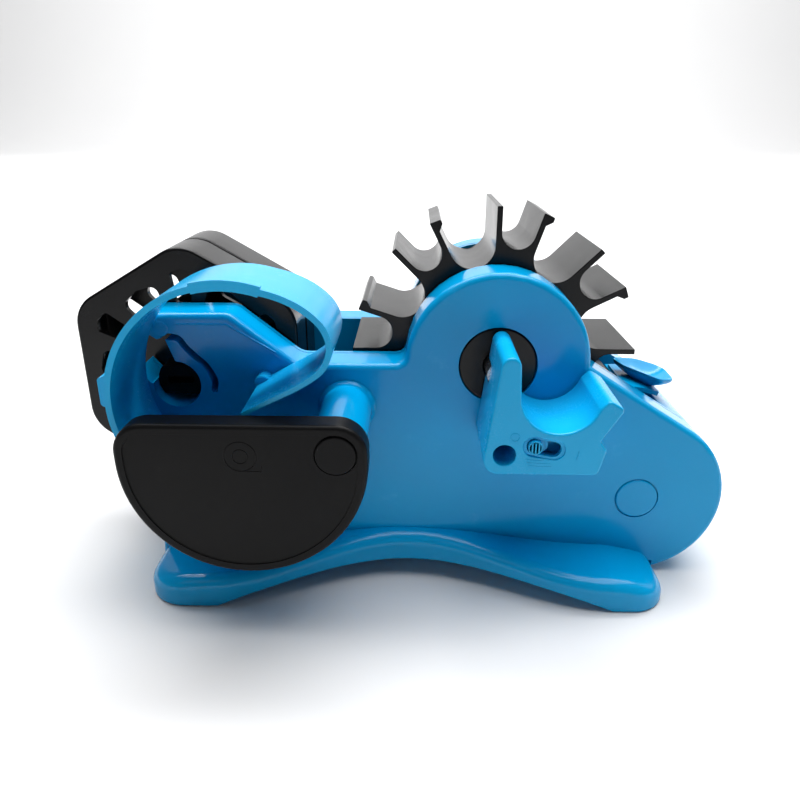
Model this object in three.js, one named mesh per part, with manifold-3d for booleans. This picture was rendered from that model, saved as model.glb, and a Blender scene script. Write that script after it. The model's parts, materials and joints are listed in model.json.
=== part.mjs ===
// Desktop heat-tape dispenser: two hexagonal reels feed a crank-turned arm wheel between two hollow
// housings. A spring-loaded lever holds the blade, and a strap with a half-moon cover holds a third roll.
// Units are millimetres. While parts are shaped, the wheel axis is the Y axis, the outer face of the
// near housing is Y = 0, X runs from the reels to the nose and Z is up. The last group moves the whole
// assembly so that the origin is the middle of its footprint.
import * as THREE from 'three';
import { mergeVertices } from 'three/addons/utils/BufferGeometryUtils.js';
import Module from 'manifold-3d';

const wasm = await Module();
wasm.setup();

// ---------------------------------------------------------------- driving dimensions
const GAP = 0.3;                 // clearance between any two pieces that face each other
const RUN = 0.9;                 // side clearance of what turns between the housings
const WALL = 2;                  // moulded wall
const EDGE = 1.2;                // rounding of outer edges
const ARC_STEP = 18;             // degrees per flat on small arcs
const FINE_STEP = 9;             // degrees per flat on large arcs

const AXIS_HEIGHT = 71.2;        // wheel axis above the table
const HOUSING_DEPTH = 13.2;      // each side housing, outer face to inner face
const CHANNEL = 38.4;            // free width between the housings
const INNER_COVER = 1.8;         // plate that closes the open side of a housing

const LOBE_R = 27.3;             // round top of a housing, about the wheel axis
const LOBE_FILLET = 3.2;
const SHOULDER_X = -59.5;        // where the low flat top meets the rear slope
const REAR_TOP_X = -78.4;        // where the rear slope meets the high flat top
const REAR_TOP_Z = 15.2;
const REAR_X = -107.2;           // rear end of a housing
const NOSE_X = 45.8;             // centre of the round nose
const NOSE_Z = -43.9;
const NOSE_R = 27.1;
const SLOPE_NORMAL = 58;         // degrees, direction that the front slope faces

const BASE_TOP = 11.2;           // top of the base above the table
const BASE_FRONT_X = 53;         // front end of the base
const BASE_ROUND = 2.6;          // rounding of its top edge
const ARCH_RISE = 5.2;           // how far the sides are raised between the feet
const NEAR_FOOT = 21.5;          // how far the near feet reach out from the housing
const NEAR_WAIST = 4.4;          // how far the base reaches out between the near feet
const FAR_FOOT = 5.6;
const FAR_WAIST = 2.4;
const PAD_R = 5.5;
const PAD_T = 1.6;
const PAD_PROUD = 0.5;

const WHEEL_TIP_R = 44;
const ARM_PAIRS = 8;
const PAIR_ANGLE = 18.3;         // degrees between the two arms of a pair
const FIRST_ARM = 90;            // degrees, direction of the first plain arm, from +X towards +Z
const ARM_HALF = 0.85;           // half the thickness of an arm
const SMALL_VALLEY_R = 32;       // floor of the valley inside a pair
const LARGE_VALLEY_R = 26.6;     // floor of the valley between pairs
const LIP = 1.7;                 // catch on the second arm of a pair
const AXLE_R = 4;
const AXLE_FLAT = 3.2;           // the axle's flat, from its middle
const HUB_R = 11.3;              // black hub disc, flush with the near housing
const HUB_FLANGE_R = 14.5;
const HUB_SINK = 0.2;            // hub face below the housing's outer face
const HUB_EDGE = 0.5;

const REEL_X = -95.8;
const REEL_Z = -6.6;
const REEL_APOTHEM = 34.6;       // half the width across flats; its corners grip a 76 mm core
const REEL_CORNER = 11;
const REEL_RIM = 2;
const REEL_WEB = 2.2;
const REEL_HUB_R = 13.5;
const REEL_SPLIT = 1;            // washer between the two reels
const SHAFT_R = 6.9;             // shaft ends
const SEAT_R = SHAFT_R + GAP;    // the seats that hold them
const SHAFT_FLAT = 4.4;          // half the width across the flats of the shaft ends
const REEL_SHAFT_R = SHAFT_R - 0.5; // shaft inside the reels
const SHAFT_SINK = 4;            // how far the shaft ends stop short of the outer faces
const SOCKET_HALF = 1.1;         // half the width of the slot in the shaft's near end
const SNAP_SLOT = 2;             // width of the slot behind the snap finger

const STRAP_DEPTH = 26.4;        // how far the strap stands out from the near housing
const STRAP_T = 1.7;
const STRAP_X = -73.2;           // centre of the strap's round part
const STRAP_Z = -3;
const STRAP_R = 33;              // outer radius of the strap's round part

const COVER_T = 7.2;             // half-moon cover
const COVER_X = -69.7;
const COVER_Z = -16.2;
const COVER_R = 33.3;
const COVER_TOP = -5;
const COVER_CORNER = 8.4;        // its upper corners; the front one is round about the post
const COVER_SHELL = 1.8;
const POST_R = 7.6;
const COVER_PIN_R = 2.4;
const COVER_PIN_HEAD = 5.4;
const COVER_PIN_REACH = 12;      // how deep the pin reaches into the post
const COVER_PIN_SINK = 1.6;      // depth of the round recess for its head

const CRANK_DEPTH = 25.3;        // crank, from its back to its front face
const CRANK_BACK = -0.6;         // the back of the crank stands this far off the housing
const CRADLE_R = 10.7;           // finger cradle
const CRANK_HOLE = [-0.2, -16.6];
const CRANK_HOLE_R = 3.1;
const CRANK_SOCKET = 8.5;        // how deep the axle goes into the crank
const LOCK_TRAVEL = 5;           // travel of the lock slider
const LOCK_KNOB_R = 1.95;
const LOCK_TILT = -10.6;         // degrees, direction of the lock slot
const LOCK_X = 7.9;
const LOCK_Z = -14;
const LOCK_CEILING = 2.2;        // crank wall in front of the slider's foot
const LOCK_FOOT_T = 2.5;         // slider's foot
const LOCK_SPAN = 1.4;           // room past each end of the slider's travel

const ROLLER_R = 5;
const ROLLER_PIN_R = 1.6;
const REAR_ROLLER = [-51, -34];
const LOW_ROLLER = [-8, -51];

const LEVER_PIN_R = 1.8;
const LEVER_SIDE = 4.2;          // from each housing to the blade lever, which turns in the nose
const LEVER_WIDTH = CHANNEL - 2 * LEVER_SIDE;
const TAB_WIDTH = LEVER_WIDTH - 6;
const TAB_LIFT = 1.1;            // the tab's underside stands this far off the nose
const TAB_T = 2;
const BLADE_ANGLE = -28.5;       // degrees, where the blade faces the wheel
const BLADE_CLEAR = 0.6;         // blade edge to the arm tips
const BLADE_T = 0.6;
const BLADE_LENGTH = 4.8;
const SPRING_WIRE = 0.5;         // half the thickness of the lever spring's wire
const SPRING_TURNS = 2;
const SPRING_SIDES = 5;          // flats round the wire

const SCREW_R = 1.6;
const SCREW_HEAD_R = 3;
const SCREW_HEAD_T = 0.8;
const HEAD_SINK = 1.2;           // depth of the recess for a screw's head
const PLUG_R = 6.5;              // disc let into each housing over the end of the lever's pin
const PLUG_T = 0.9;
const PLUG_PROUD = 0.35;
const PLUG_EDGE = 0.5;

const BEYOND = 300;              // cutting blocks reach past the whole dispenser

// ---------------------------------------------------------------- places that follow from them
const FAR_IN = HOUSING_DEPTH + CHANNEL;
const FAR_OUT = FAR_IN + HOUSING_DEPTH;
const GROUND = -AXIS_HEIGHT;
const BASE_Z = GROUND + PAD_PROUD;
const DECK_Z = GROUND + BASE_TOP;
const WHEEL_Y0 = HOUSING_DEPTH + RUN;
const WHEEL_Y1 = FAR_IN - RUN;
const MID_Y = (HOUSING_DEPTH + FAR_IN) / 2;
const COVER_BACK = -STRAP_DEPTH - GAP;
const COVER_FRONT = COVER_BACK - COVER_T;
const POST_X = COVER_X + COVER_R - COVER_CORNER;
const POST_Z = COVER_TOP - COVER_CORNER;

// ---------------------------------------------------------------- materials
const finish = (color, roughness, metalness = 0) =>
  new THREE.MeshStandardMaterial({ color, roughness, metalness });
const BLUE = () => finish(0x0b86c8, 0.22);
const LIGHT_BLUE = () => finish(0x2aa3dd, 0.32);
const BLACK = () => finish(0x0d0d0f, 0.2);
const SATIN_BLACK = () => finish(0x17181a, 0.5);
const STEEL = () => finish(0xb9bcc0, 0.3, 1);
const RUBBER = () => finish(0x202122, 0.85);

// ---------------------------------------------------------------- geometry helpers
const rad = THREE.MathUtils.degToRad;
const vec = (x, y) => new THREE.Vector2(x, y);

// Points on an arc, from angle a0 to a1 in degrees.
function arc(cx, cy, r, a0, a1, step = ARC_STEP) {
  const count = Math.max(2, Math.ceil(Math.abs(a1 - a0) / step));
  return Array.from({ length: count + 1 }, (_, i) => {
    const a = rad(a0 + (a1 - a0) * i / count);
    return vec(cx + r * Math.cos(a), cy + r * Math.sin(a));
  });
}

// A polygon whose corners are [x, y, radius]; a radius of 0 leaves the corner sharp.
function rounded(corners, step = ARC_STEP) {
  const points = [];
  corners.forEach(([x, y, r = 0], i) => {
    const here = vec(x, y);
    if (!r) {
      points.push(here);
      return;
    }
    const [px, py] = corners[(i + corners.length - 1) % corners.length];
    const [nx, ny] = corners[(i + 1) % corners.length];
    const back = vec(px - x, py - y).normalize();
    const on = vec(nx - x, ny - y).normalize();
    const half = Math.acos(THREE.MathUtils.clamp(back.dot(on), -1, 1)) / 2;
    const centre = here.clone().addScaledVector(back.clone().add(on).normalize(), r / Math.sin(half));
    const run = r / Math.tan(half);
    const from = here.clone().addScaledVector(back, run).sub(centre);
    const to = here.clone().addScaledVector(on, run).sub(centre);
    const a0 = from.angle();
    let turn = to.angle() - a0;
    if (turn > Math.PI) turn -= 2 * Math.PI;
    if (turn < -Math.PI) turn += 2 * Math.PI;
    const deg = THREE.MathUtils.radToDeg;
    points.push(...arc(centre.x, centre.y, r, deg(a0), deg(a0 + turn), step));
  });
  return points;
}

// Points as corners that stay sharp.
const sharp = (points) => points.map((p) => [p.x, p.y, 0]);

// The point where the line through a and b meets the line through c and d.
function crossing(a, b, c, d) {
  const u = b.clone().sub(a);
  const v = d.clone().sub(c);
  return a.clone().addScaledVector(u, c.clone().sub(a).cross(v) / u.cross(v));
}

// The outline moved inwards by d. An edge that would turn over is dropped, and its neighbours meet.
function inset(points, d) {
  const sign = THREE.ShapeUtils.area(points) > 0 ? 1 : -1;
  const pick = (list, i) => list[(i + list.length) % list.length];
  const moved = points.map((p, i) => {
    const a = p.clone().sub(pick(points, i - 1)).normalize();
    const b = pick(points, i + 1).clone().sub(p).normalize();
    const middle = vec(-a.y - b.y, a.x + b.x).normalize();
    return p.clone().addScaledVector(middle, sign * d / Math.max(0.5, vec(-b.y, b.x).dot(middle)));
  });
  const turned = points.findIndex((p, i) =>
    pick(points, i + 1).clone().sub(p).dot(pick(moved, i + 1).clone().sub(moved[i])) <= 0);
  if (turned < 0) return moved;
  const before = [pick(points, turned - 1), points[turned]];
  const joint = crossing(...before, pick(points, turned + 1), pick(points, turned + 2));
  const kept = points.filter((_, i) => i !== turned && i !== (turned + 1) % points.length);
  kept.splice(turned, 0, joint);
  return inset(kept, d);
}

// A closed geometry as a solid, with its faces turned outwards and no collapsed ones.
function solid(geometry) {
  const bare = geometry.clone();
  bare.deleteAttribute('normal');
  bare.deleteAttribute('uv');
  const merged = mergeVertices(bare, 1e-4);
  const at = (i) => new THREE.Vector3().fromBufferAttribute(merged.attributes.position, i);
  const faces = [];
  let volume = 0;
  for (let i = 0; i < merged.index.count; i += 3) {
    const [a, b, c] = [0, 1, 2].map((k) => merged.index.getX(i + k));
    if (a !== b && b !== c && c !== a) {
      faces.push([a, b, c]);
      volume += at(a).dot(at(b).cross(at(c)));
    }
  }
  const outward = volume > 0 ? faces : faces.map(([a, b, c]) => [a, c, b]);
  return new wasm.Manifold(new wasm.Mesh({
    numProp: 3,
    vertProperties: new Float32Array(merged.attributes.position.array),
    triVerts: new Uint32Array(outward.flat()),
  }));
}

function geometryOf(manifold) {
  const mesh = manifold.getMesh();
  const geometry = new THREE.BufferGeometry();
  geometry.setAttribute('position', new THREE.BufferAttribute(mesh.vertProperties.slice(), 3));
  geometry.setIndex(new THREE.BufferAttribute(mesh.triVerts.slice(), 1));
  geometry.computeVertexNormals();
  return geometry;
}

// An outline in X and Z, given thickness along Y from y0 to y1, with an optional rounded edge.
function slab(points, y0, y1, edge = 0) {
  const geometry = new THREE.ExtrudeGeometry(new THREE.Shape(points), {
    depth: y1 - y0 - 2 * edge,
    bevelEnabled: edge > 0,
    bevelThickness: edge,
    bevelSize: edge,
    bevelOffset: -edge,
    bevelSegments: 1,
  });
  geometry.translate(0, 0, edge);
  geometry.rotateX(Math.PI / 2);
  geometry.translate(0, y1, 0);
  return solid(geometry);
}

function box(x0, x1, y0, y1, z0, z1) {
  const geometry = new THREE.BoxGeometry(x1 - x0, y1 - y0, z1 - z0);
  geometry.translate((x0 + x1) / 2, (y0 + y1) / 2, (z0 + z1) / 2);
  return solid(geometry);
}

// A round bar along Y.
function bar(x, z, r, y0, y1, sides = 20) {
  const geometry = new THREE.CylinderGeometry(r, r, y1 - y0, sides);
  geometry.translate(x, (y0 + y1) / 2, z);
  return solid(geometry);
}

// A round bar along Z.
function peg(x, y, r, z0, z1, sides = 16) {
  const geometry = new THREE.CylinderGeometry(r, r, z1 - z0, sides);
  geometry.rotateX(Math.PI / 2);
  geometry.translate(x, y, (z0 + z1) / 2);
  return solid(geometry);
}

// A body of revolution about Y; the profile's points are [radius, y].
function turned(x, z, profile, sides = 24) {
  const geometry = new THREE.LatheGeometry(profile.map(([r, y]) => vec(r, y)), sides);
  geometry.translate(x, 0, z);
  return solid(geometry);
}

// A solid mirrored in the plane Y = middle.
function mirrorY(manifold, middle) {
  const geometry = geometryOf(manifold);
  geometry.scale(1, -1, 1);
  geometry.translate(0, 2 * middle, 0);
  return solid(geometry);
}

const joined = (first, ...rest) => rest.reduce((sum, piece) => sum.add(piece), first);
const cut = (body, ...tools) => tools.reduce((left, tool) => left.subtract(tool), body);

const assembly = new THREE.Group();

function place(name, shape, material) {
  const mesh = new THREE.Mesh(geometryOf(shape), material);
  mesh.name = name;
  assembly.add(mesh);
  return mesh;
}

// ---------------------------------------------------------------- housing outline
const slopeNormal = vec(Math.cos(rad(SLOPE_NORMAL)), Math.sin(rad(SLOPE_NORMAL)));
const slopeOffset = slopeNormal.x * NOSE_X + slopeNormal.y * NOSE_Z + NOSE_R;
const slopeAt = (x) => (slopeOffset - slopeNormal.x * x) / slopeNormal.y;

function housingOutline() {
  const filletX = -Math.sqrt((LOBE_R + LOBE_FILLET) ** 2 - LOBE_FILLET ** 2);
  const filletAngle = THREE.MathUtils.radToDeg(Math.atan2(LOBE_FILLET, -filletX));
  const lobeEnd = SLOPE_NORMAL - THREE.MathUtils.radToDeg(Math.acos(slopeOffset / LOBE_R));
  const noseEnd = -THREE.MathUtils.radToDeg(Math.acos((BASE_FRONT_X + 2 * GAP - NOSE_X) / NOSE_R));
  const rear = rounded([
    [REAR_X, DECK_Z + GAP, 0],
    [REAR_X, -1, 4],
    [REAR_X + 3.8, REAR_TOP_Z, 4.5],
    [REAR_TOP_X, REAR_TOP_Z, 5],
    [SHOULDER_X, 0, 6],
    [filletX, 0, 0],
  ]);
  return [
    ...rear,
    ...arc(filletX, LOBE_FILLET, LOBE_FILLET, -90, -filletAngle, 2 * ARC_STEP).slice(1),
    ...arc(0, 0, LOBE_R, 180 - filletAngle, lobeEnd, FINE_STEP).slice(1),
    ...arc(NOSE_X, NOSE_Z, NOSE_R, SLOPE_NORMAL, noseEnd, FINE_STEP),
    vec(BASE_FRONT_X + 2 * GAP, DECK_Z + GAP),
  ];
}

// The way in for the reel shaft, from the rear edge down into its round seat.
const ENTRY = [
  [-7.6, 0.2], [-11.2, 4.4], [-24, 12], [-24, 18.4], [-8.2, 16.4], [-4.4, 14], [-2.3, 14.6],
  [-1.4, 12.2], [0.2, 7.4], [4.6, 4.6],
].map(([x, z]) => vec(REEL_X + x, REEL_Z + z));

// The slot that frees the snap finger, as a band about a line that starts in the way in.
const SNAP_LINE = [[-3.2, 14.9], [1.6, 14.4], [3.8, 11.6], [6.2, 9], [9.4, 5.8], [11.4, 1.6], [11.2, -1.6]]
  .map(([x, z]) => vec(REEL_X + x, REEL_Z + z));

function band(line, width) {
  const curve = new THREE.SplineCurve(line);
  const steps = 2 * (line.length - 1);
  const side = (sign) => Array.from({ length: steps + 1 }, (_, i) => {
    const p = curve.getPoint(i / steps);
    const t = curve.getTangent(i / steps);
    return vec(p.x - sign * t.y * width / 2, p.y + sign * t.x * width / 2);
  });
  return [...side(1), ...side(-1).reverse()];
}

const housingPoints = housingOutline();
const pocketPoints = inset(housingPoints, WALL);

// The screws that hold the strap's root to the near housing, by X and Z.
const STRAP_SCREWS = [[-85, -29], [-64, -31]];

// The screw bosses of a housing, by X and Z.
const BOSSES = [[-88, -48], [-40, -52], [18, -52], [44, -26]];

// The pins that both housings hold between them: the rollers' and the lever's, by X, Z and radius.
const PIN_PLACES = [
  [...REAR_ROLLER, ROLLER_PIN_R],
  [...LOW_ROLLER, ROLLER_PIN_R],
  [NOSE_X, NOSE_Z, LEVER_PIN_R],
];
const SEAM = HOUSING_DEPTH - INNER_COVER - GAP;

// What goes through a housing and its inner cover alike.
const throughCuts = () => [
  bar(REEL_X, REEL_Z, SEAT_R, -1, HOUSING_DEPTH + 1, 24),
  slab(ENTRY, -1, HOUSING_DEPTH + 1),
  slab(band(SNAP_LINE, SNAP_SLOT), -1, HOUSING_DEPTH + 1),
];

function housing() {
  const layer = box(-BEYOND, BEYOND, 0, SEAM, -BEYOND, BEYOND);
  const filled = slab(housingPoints, 0, SEAM + 2 * EDGE, EDGE).intersect(layer);
  const rims = joined(
    bar(REEL_X, REEL_Z, SEAT_R + WALL, 0, SEAM),
    slab(inset(ENTRY, -WALL), 0, SEAM),
    slab(band(SNAP_LINE, SNAP_SLOT + 2 * WALL), 0, SEAM),
  ).intersect(filled);
  const pillars = [...BOSSES.map(([x, z]) => [x, z, SCREW_R]), ...PIN_PLACES];
  return cut(
    joined(
      filled.subtract(slab(pocketPoints, WALL, HOUSING_DEPTH)),
      rims,
      bar(0, 0, HUB_R + GAP + WALL, 0, SEAM, 28),
      ...pillars.map(([x, z, r]) => bar(x, z, r + WALL, WALL / 2, SEAM, 10)),
    ),
    ...throughCuts(),
    bar(0, 0, HUB_R + GAP, -1, HOUSING_DEPTH, 28),
    ...pillars.map(([x, z, r]) => bar(x, z, r + GAP, WALL, HOUSING_DEPTH, 10)),
  );
}

function innerCover() {
  const face = HOUSING_DEPTH - INNER_COVER;
  const recess = HOUSING_DEPTH - HEAD_SINK;
  return cut(
    slab(housingPoints, face, HOUSING_DEPTH),
    ...throughCuts(),
    bar(0, 0, HUB_FLANGE_R + GAP, 0, HOUSING_DEPTH + 1, 28),
    ...BOSSES.map(([x, z]) => bar(x, z, SCREW_R + GAP, 0, HOUSING_DEPTH + 1, 10)),
    ...BOSSES.map(([x, z]) => bar(x, z, SCREW_HEAD_R + GAP, recess, HOUSING_DEPTH + 1, 10)),
    ...PIN_PLACES.map(([x, z, r]) => bar(x, z, r + GAP, 0, HOUSING_DEPTH + 1, 10)),
  );
}

// ---------------------------------------------------------------- housings and what closes them
function addHousings() {
  const shell = housing().subtract(bar(NOSE_X, NOSE_Z, PLUG_R + GAP, -1, PLUG_T + GAP));
  const frontHoles = [...STRAP_SCREWS, [POST_X, POST_Z]]
    .map(([x, z]) => bar(x, z, SCREW_R + GAP, -1, WALL + 1, 10));
  const toFarSide = (shape) => mirrorY(shape, FAR_OUT / 2);
  const cover = innerCover();
  const plug = turned(NOSE_X, NOSE_Z, [
    [0, -PLUG_PROUD], [PLUG_R - PLUG_EDGE, -PLUG_PROUD], [PLUG_R, PLUG_EDGE - PLUG_PROUD], [PLUG_R, PLUG_T],
    [0, PLUG_T],
  ]);
  place('near_housing', cut(shell, ...frontHoles), BLUE());
  place('far_housing', toFarSide(shell), BLUE());
  place('near_inner_cover', cover, BLUE());
  place('far_inner_cover', toFarSide(cover), BLUE());
  place('near_plug', plug, BLUE());
  place('far_plug', toFarSide(plug), BLUE());
  BOSSES.forEach(([x, z], i) => {
    const under = HOUSING_DEPTH - 0.1 - SCREW_HEAD_T;
    const screw = bar(x, z, SCREW_HEAD_R, under, under + SCREW_HEAD_T, 12)
      .add(bar(x, z, SCREW_R, WALL + 3, under + SCREW_HEAD_T / 2, 12));
    place(`near_screw_${i + 1}`, screw, STEEL());
    place(`far_screw_${i + 1}`, toFarSide(screw), STEEL());
  });
}

// ---------------------------------------------------------------- base and feet
const FOOT_REAR_X = REAR_X + 20;
const FOOT_FRONT_X = BASE_FRONT_X - 18;
const WAIST_X = (FOOT_REAR_X + FOOT_FRONT_X) / 2;
const WAIST_REACH = (FOOT_FRONT_X - FOOT_REAR_X) / 2;

// One long side of the base: it reaches out by foot at its ends and by waist in its middle.
function baseSide(foot, waist, reach, turn) {
  const count = 5;
  return Array.from({ length: 2 * count + 1 }, (_, i) => {
    const t = i / count - 1;
    const out = waist + (foot - waist) * (1 - Math.cos(Math.PI * Math.abs(t))) / 2;
    return [WAIST_X + t * reach, turn * out, 0];
  });
}

function baseOutline() {
  const near = baseSide(NEAR_FOOT, NEAR_WAIST, WAIST_REACH, -1);
  const far = baseSide(FAR_FOOT, FAR_WAIST, WAIST_REACH, 1).reverse().map(([x, y]) => [x, FAR_OUT + y, 0]);
  return rounded([
    [REAR_X, -NEAR_FOOT, 13], ...near, [BASE_FRONT_X, -NEAR_FOOT, 11],
    [BASE_FRONT_X, FAR_OUT + FAR_FOOT, 8], ...far, [REAR_X, FAR_OUT + FAR_FOOT, 8],
  ]);
}

const PADS = [
  [FOOT_REAR_X - 5, -NEAR_FOOT + 12], [FOOT_FRONT_X + 4, -NEAR_FOOT + 11],
  [FOOT_REAR_X - 8, FAR_OUT - 5], [FOOT_FRONT_X + 6, FAR_OUT - 5],
];

function addBase() {
  const outline = baseOutline();
  const standing = new THREE.ExtrudeGeometry(new THREE.Shape(outline), {
    depth: DECK_Z - BASE_Z,
    bevelEnabled: true,
    bevelThickness: BASE_ROUND,
    bevelSize: BASE_ROUND,
    bevelOffset: -BASE_ROUND,
    bevelSegments: 1,
  });
  standing.translate(0, 0, BASE_Z - BASE_ROUND);
  const block = solid(standing).intersect(box(-BEYOND, BEYOND, -BEYOND, BEYOND, BASE_Z, DECK_Z));
  const hollow = new THREE.ExtrudeGeometry(new THREE.Shape(inset(outline, BASE_ROUND + WALL)), {
    depth: DECK_Z - BASE_Z - WALL, bevelEnabled: false,
  });
  hollow.translate(0, 0, BASE_Z - WALL);
  const arch = slab(rounded([
    [FOOT_REAR_X + 16, BASE_Z - 3, 0], [FOOT_REAR_X + 38, BASE_Z + ARCH_RISE, 30],
    [FOOT_FRONT_X - 38, BASE_Z + ARCH_RISE, 30], [FOOT_FRONT_X - 16, BASE_Z - 3, 0],
  ]), -BEYOND, BEYOND);
  const posts = PADS.map(([x, y]) => peg(x, y, PAD_R + WALL, BASE_Z, DECK_Z - WALL / 2));
  const seats = PADS.map(([x, y]) => peg(x, y, PAD_R + GAP, BASE_Z - 1, BASE_Z + PAD_T - PAD_PROUD + GAP));
  place('base', cut(joined(cut(block, solid(hollow)), ...posts), arch, ...seats), BLUE());
  PADS.forEach(([x, y], i) => {
    place(`rubber_foot_${i + 1}`, peg(x, y, PAD_R, GROUND, GROUND + PAD_T), RUBBER());
  });
}

// ---------------------------------------------------------------- arm wheel
function wheelOutline() {
  const points = [];
  const pitch = 360 / ARM_PAIRS;
  const polar = (a, r, side) => {
    const d = vec(Math.cos(rad(a)), Math.sin(rad(a)));
    return vec(d.x * r + d.y * side, d.y * r - d.x * side);
  };
  const valley = (from, to, floor) => {
    const spread = Math.sin(rad((from - to) / 2));
    const c = (floor - ARM_HALF) / (1 - spread);
    const mid = (from + to) / 2;
    const half = (from - to) / 2;
    const centre = polar(mid, c, 0);
    return arc(centre.x, centre.y, c * spread - ARM_HALF, mid + half + 90, mid - half + 270, 20);
  };
  for (let i = 0; i < ARM_PAIRS; i += 1) {
    const plain = FIRST_ARM - i * pitch;
    const caught = plain - PAIR_ANGLE;
    points.push(polar(plain, WHEEL_TIP_R, -ARM_HALF), polar(plain, WHEEL_TIP_R, ARM_HALF));
    points.push(...valley(plain, caught, SMALL_VALLEY_R));
    points.push(
      polar(caught, WHEEL_TIP_R, -ARM_HALF),
      polar(caught, WHEEL_TIP_R - 0.4, ARM_HALF + LIP),
      polar(caught, WHEEL_TIP_R - 1.8, ARM_HALF + LIP),
      polar(caught, WHEEL_TIP_R - 3.4, ARM_HALF),
    );
    points.push(...valley(caught, plain - pitch, LARGE_VALLEY_R));
  }
  return points;
}

// What the flat leaves off a bar along the wheel axis, with the flat moved out by extra.
const offFlat = (extra) =>
  box(-BEYOND, BEYOND, -BEYOND, BEYOND, AXLE_FLAT + extra, BEYOND);

// Room for the axle between y0 and y1.
const axleRoom = (y0, y1) => bar(0, 0, AXLE_R + GAP, y0, y1).subtract(offFlat(GAP));

function addWheel() {
  const axle = bar(0, 0, AXLE_R, CRANK_BACK - CRANK_SOCKET + 0.5, FAR_OUT - WALL - GAP);
  place('wheel_axle', axle.subtract(offFlat(0)), STEEL());
  const bore = () => axleRoom(-BEYOND, BEYOND);
  place('arm_wheel', slab(wheelOutline(), WHEEL_Y0, WHEEL_Y1).subtract(bore()), BLACK());
  const rim = HUB_SINK + HUB_EDGE;
  const nearHub = turned(0, 0, [
    [0, HUB_SINK], [HUB_R - HUB_EDGE, HUB_SINK], [HUB_R, rim], [HUB_R, HOUSING_DEPTH - INNER_COVER],
    [HUB_FLANGE_R, HOUSING_DEPTH - INNER_COVER], [HUB_FLANGE_R, WHEEL_Y0 - GAP], [0, WHEEL_Y0 - GAP],
  ], 28);
  place('near_hub', nearHub.subtract(bore()), BLACK());
  const farHub = turned(0, 0, [
    [0, WHEEL_Y1 + GAP], [HUB_FLANGE_R, WHEEL_Y1 + GAP], [HUB_FLANGE_R, FAR_IN + INNER_COVER],
    [HUB_R, FAR_IN + INNER_COVER], [HUB_R, FAR_OUT - rim], [HUB_R - HUB_EDGE, FAR_OUT - HUB_SINK],
    [0, FAR_OUT - HUB_SINK],
  ], 28);
  place('far_hub', farHub.subtract(axleRoom(WHEEL_Y1, FAR_OUT - WALL)), BLACK());
}

// ---------------------------------------------------------------- crank and its lock
const CRANK_FRONT = CRANK_BACK - CRANK_DEPTH;

function crankOutline() {
  return rounded([
    [25.4, -22.4, 1.6], [-6.4, -22.4, 4.2],
    ...sharp(arc(0.4, 8.3, 2.6, 174, 0, 20)),
    ...sharp(arc(14.1, 0.5, CRADLE_R, 182, 342, FINE_STEP)),
    [26.6, -0.6, 1.3], [30.9, -3.2, 1.3], [25.2, -12.4, 0.8], [27.2, -15, 1.2],
  ], 15);
}

const LOCK_DIRECTION = vec(Math.cos(rad(LOCK_TILT)), Math.sin(rad(LOCK_TILT)));
const alongLock = (d, across = 0) =>
  vec(LOCK_X + LOCK_DIRECTION.x * d - LOCK_DIRECTION.y * across,
    LOCK_Z + LOCK_DIRECTION.y * d + LOCK_DIRECTION.x * across);

// A slot with round ends from a to b on the lock's line, r wide on each side.
const roundEnds = (a, b, r) => [
  ...arc(a.x, a.y, r, LOCK_TILT + 270, LOCK_TILT + 90),
  ...arc(b.x, b.y, r, LOCK_TILT + 90, LOCK_TILT - 90),
];

// The slot that the slider travels in.
const lockSlot = (r, reach = 0) => roundEnds(alongLock(-reach), alongLock(LOCK_TRAVEL + reach), r);

// The slider's own foot: the slot's outline without the travel.
const slotAbout = (r, reach) => roundEnds(alongLock(-reach), alongLock(reach), r);

function addCrank() {
  const keeperR = LOCK_KNOB_R + 0.8;
  const footY = CRANK_FRONT + LOCK_CEILING + GAP;
  const body = slab(crankOutline(), CRANK_FRONT, CRANK_BACK, 0.6);
  const drive = axleRoom(CRANK_BACK - CRANK_SOCKET, CRANK_BACK + 1);
  const hole = bar(...CRANK_HOLE, CRANK_HOLE_R, CRANK_FRONT - 1, CRANK_BACK + 1);
  const slot = slab(lockSlot(LOCK_KNOB_R + GAP), CRANK_FRONT - 1, CRANK_FRONT + LOCK_CEILING + 1);
  const rail = slab(lockSlot(keeperR + GAP, LOCK_SPAN), CRANK_FRONT + LOCK_CEILING, CRANK_BACK + 1);
  place('crank_handle', cut(body, drive, hole, slot, rail), LIGHT_BLUE());

  const knob = bar(LOCK_X, LOCK_Z, LOCK_KNOB_R, CRANK_FRONT - 0.7, footY + GAP, 20);
  const foot = slab(slotAbout(keeperR - 0.1, LOCK_SPAN - 0.2), footY, footY + LOCK_FOOT_T);
  place('lock_slider', knob.add(foot), LIGHT_BLUE());
  const keeper = slab(lockSlot(keeperR, LOCK_SPAN), footY + LOCK_FOOT_T + GAP, CRANK_BACK - 2 * GAP);
  place('lock_keeper', keeper, LIGHT_BLUE());
}

// ---------------------------------------------------------------- reels and their shaft
function hexagon(apothem, fillet) {
  const corner = apothem / Math.cos(rad(30));
  return rounded(Array.from({ length: 6 }, (_, i) => [
    REEL_X + corner * Math.cos(rad(90 - 60 * i)), REEL_Z + corner * Math.sin(rad(90 - 60 * i)), fillet,
  ]));
}

// An opening in the web between two radii, about the angle a.
function reelWindow(a, half, r0, r1) {
  const at = (angle, r) => [REEL_X + r * Math.cos(rad(angle)), REEL_Z + r * Math.sin(rad(angle)), 0];
  return rounded([at(a - half, r0), at(a - half, r1), at(a, r1 + 0.9), at(a + half, r1), at(a + half, r0)]);
}

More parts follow.
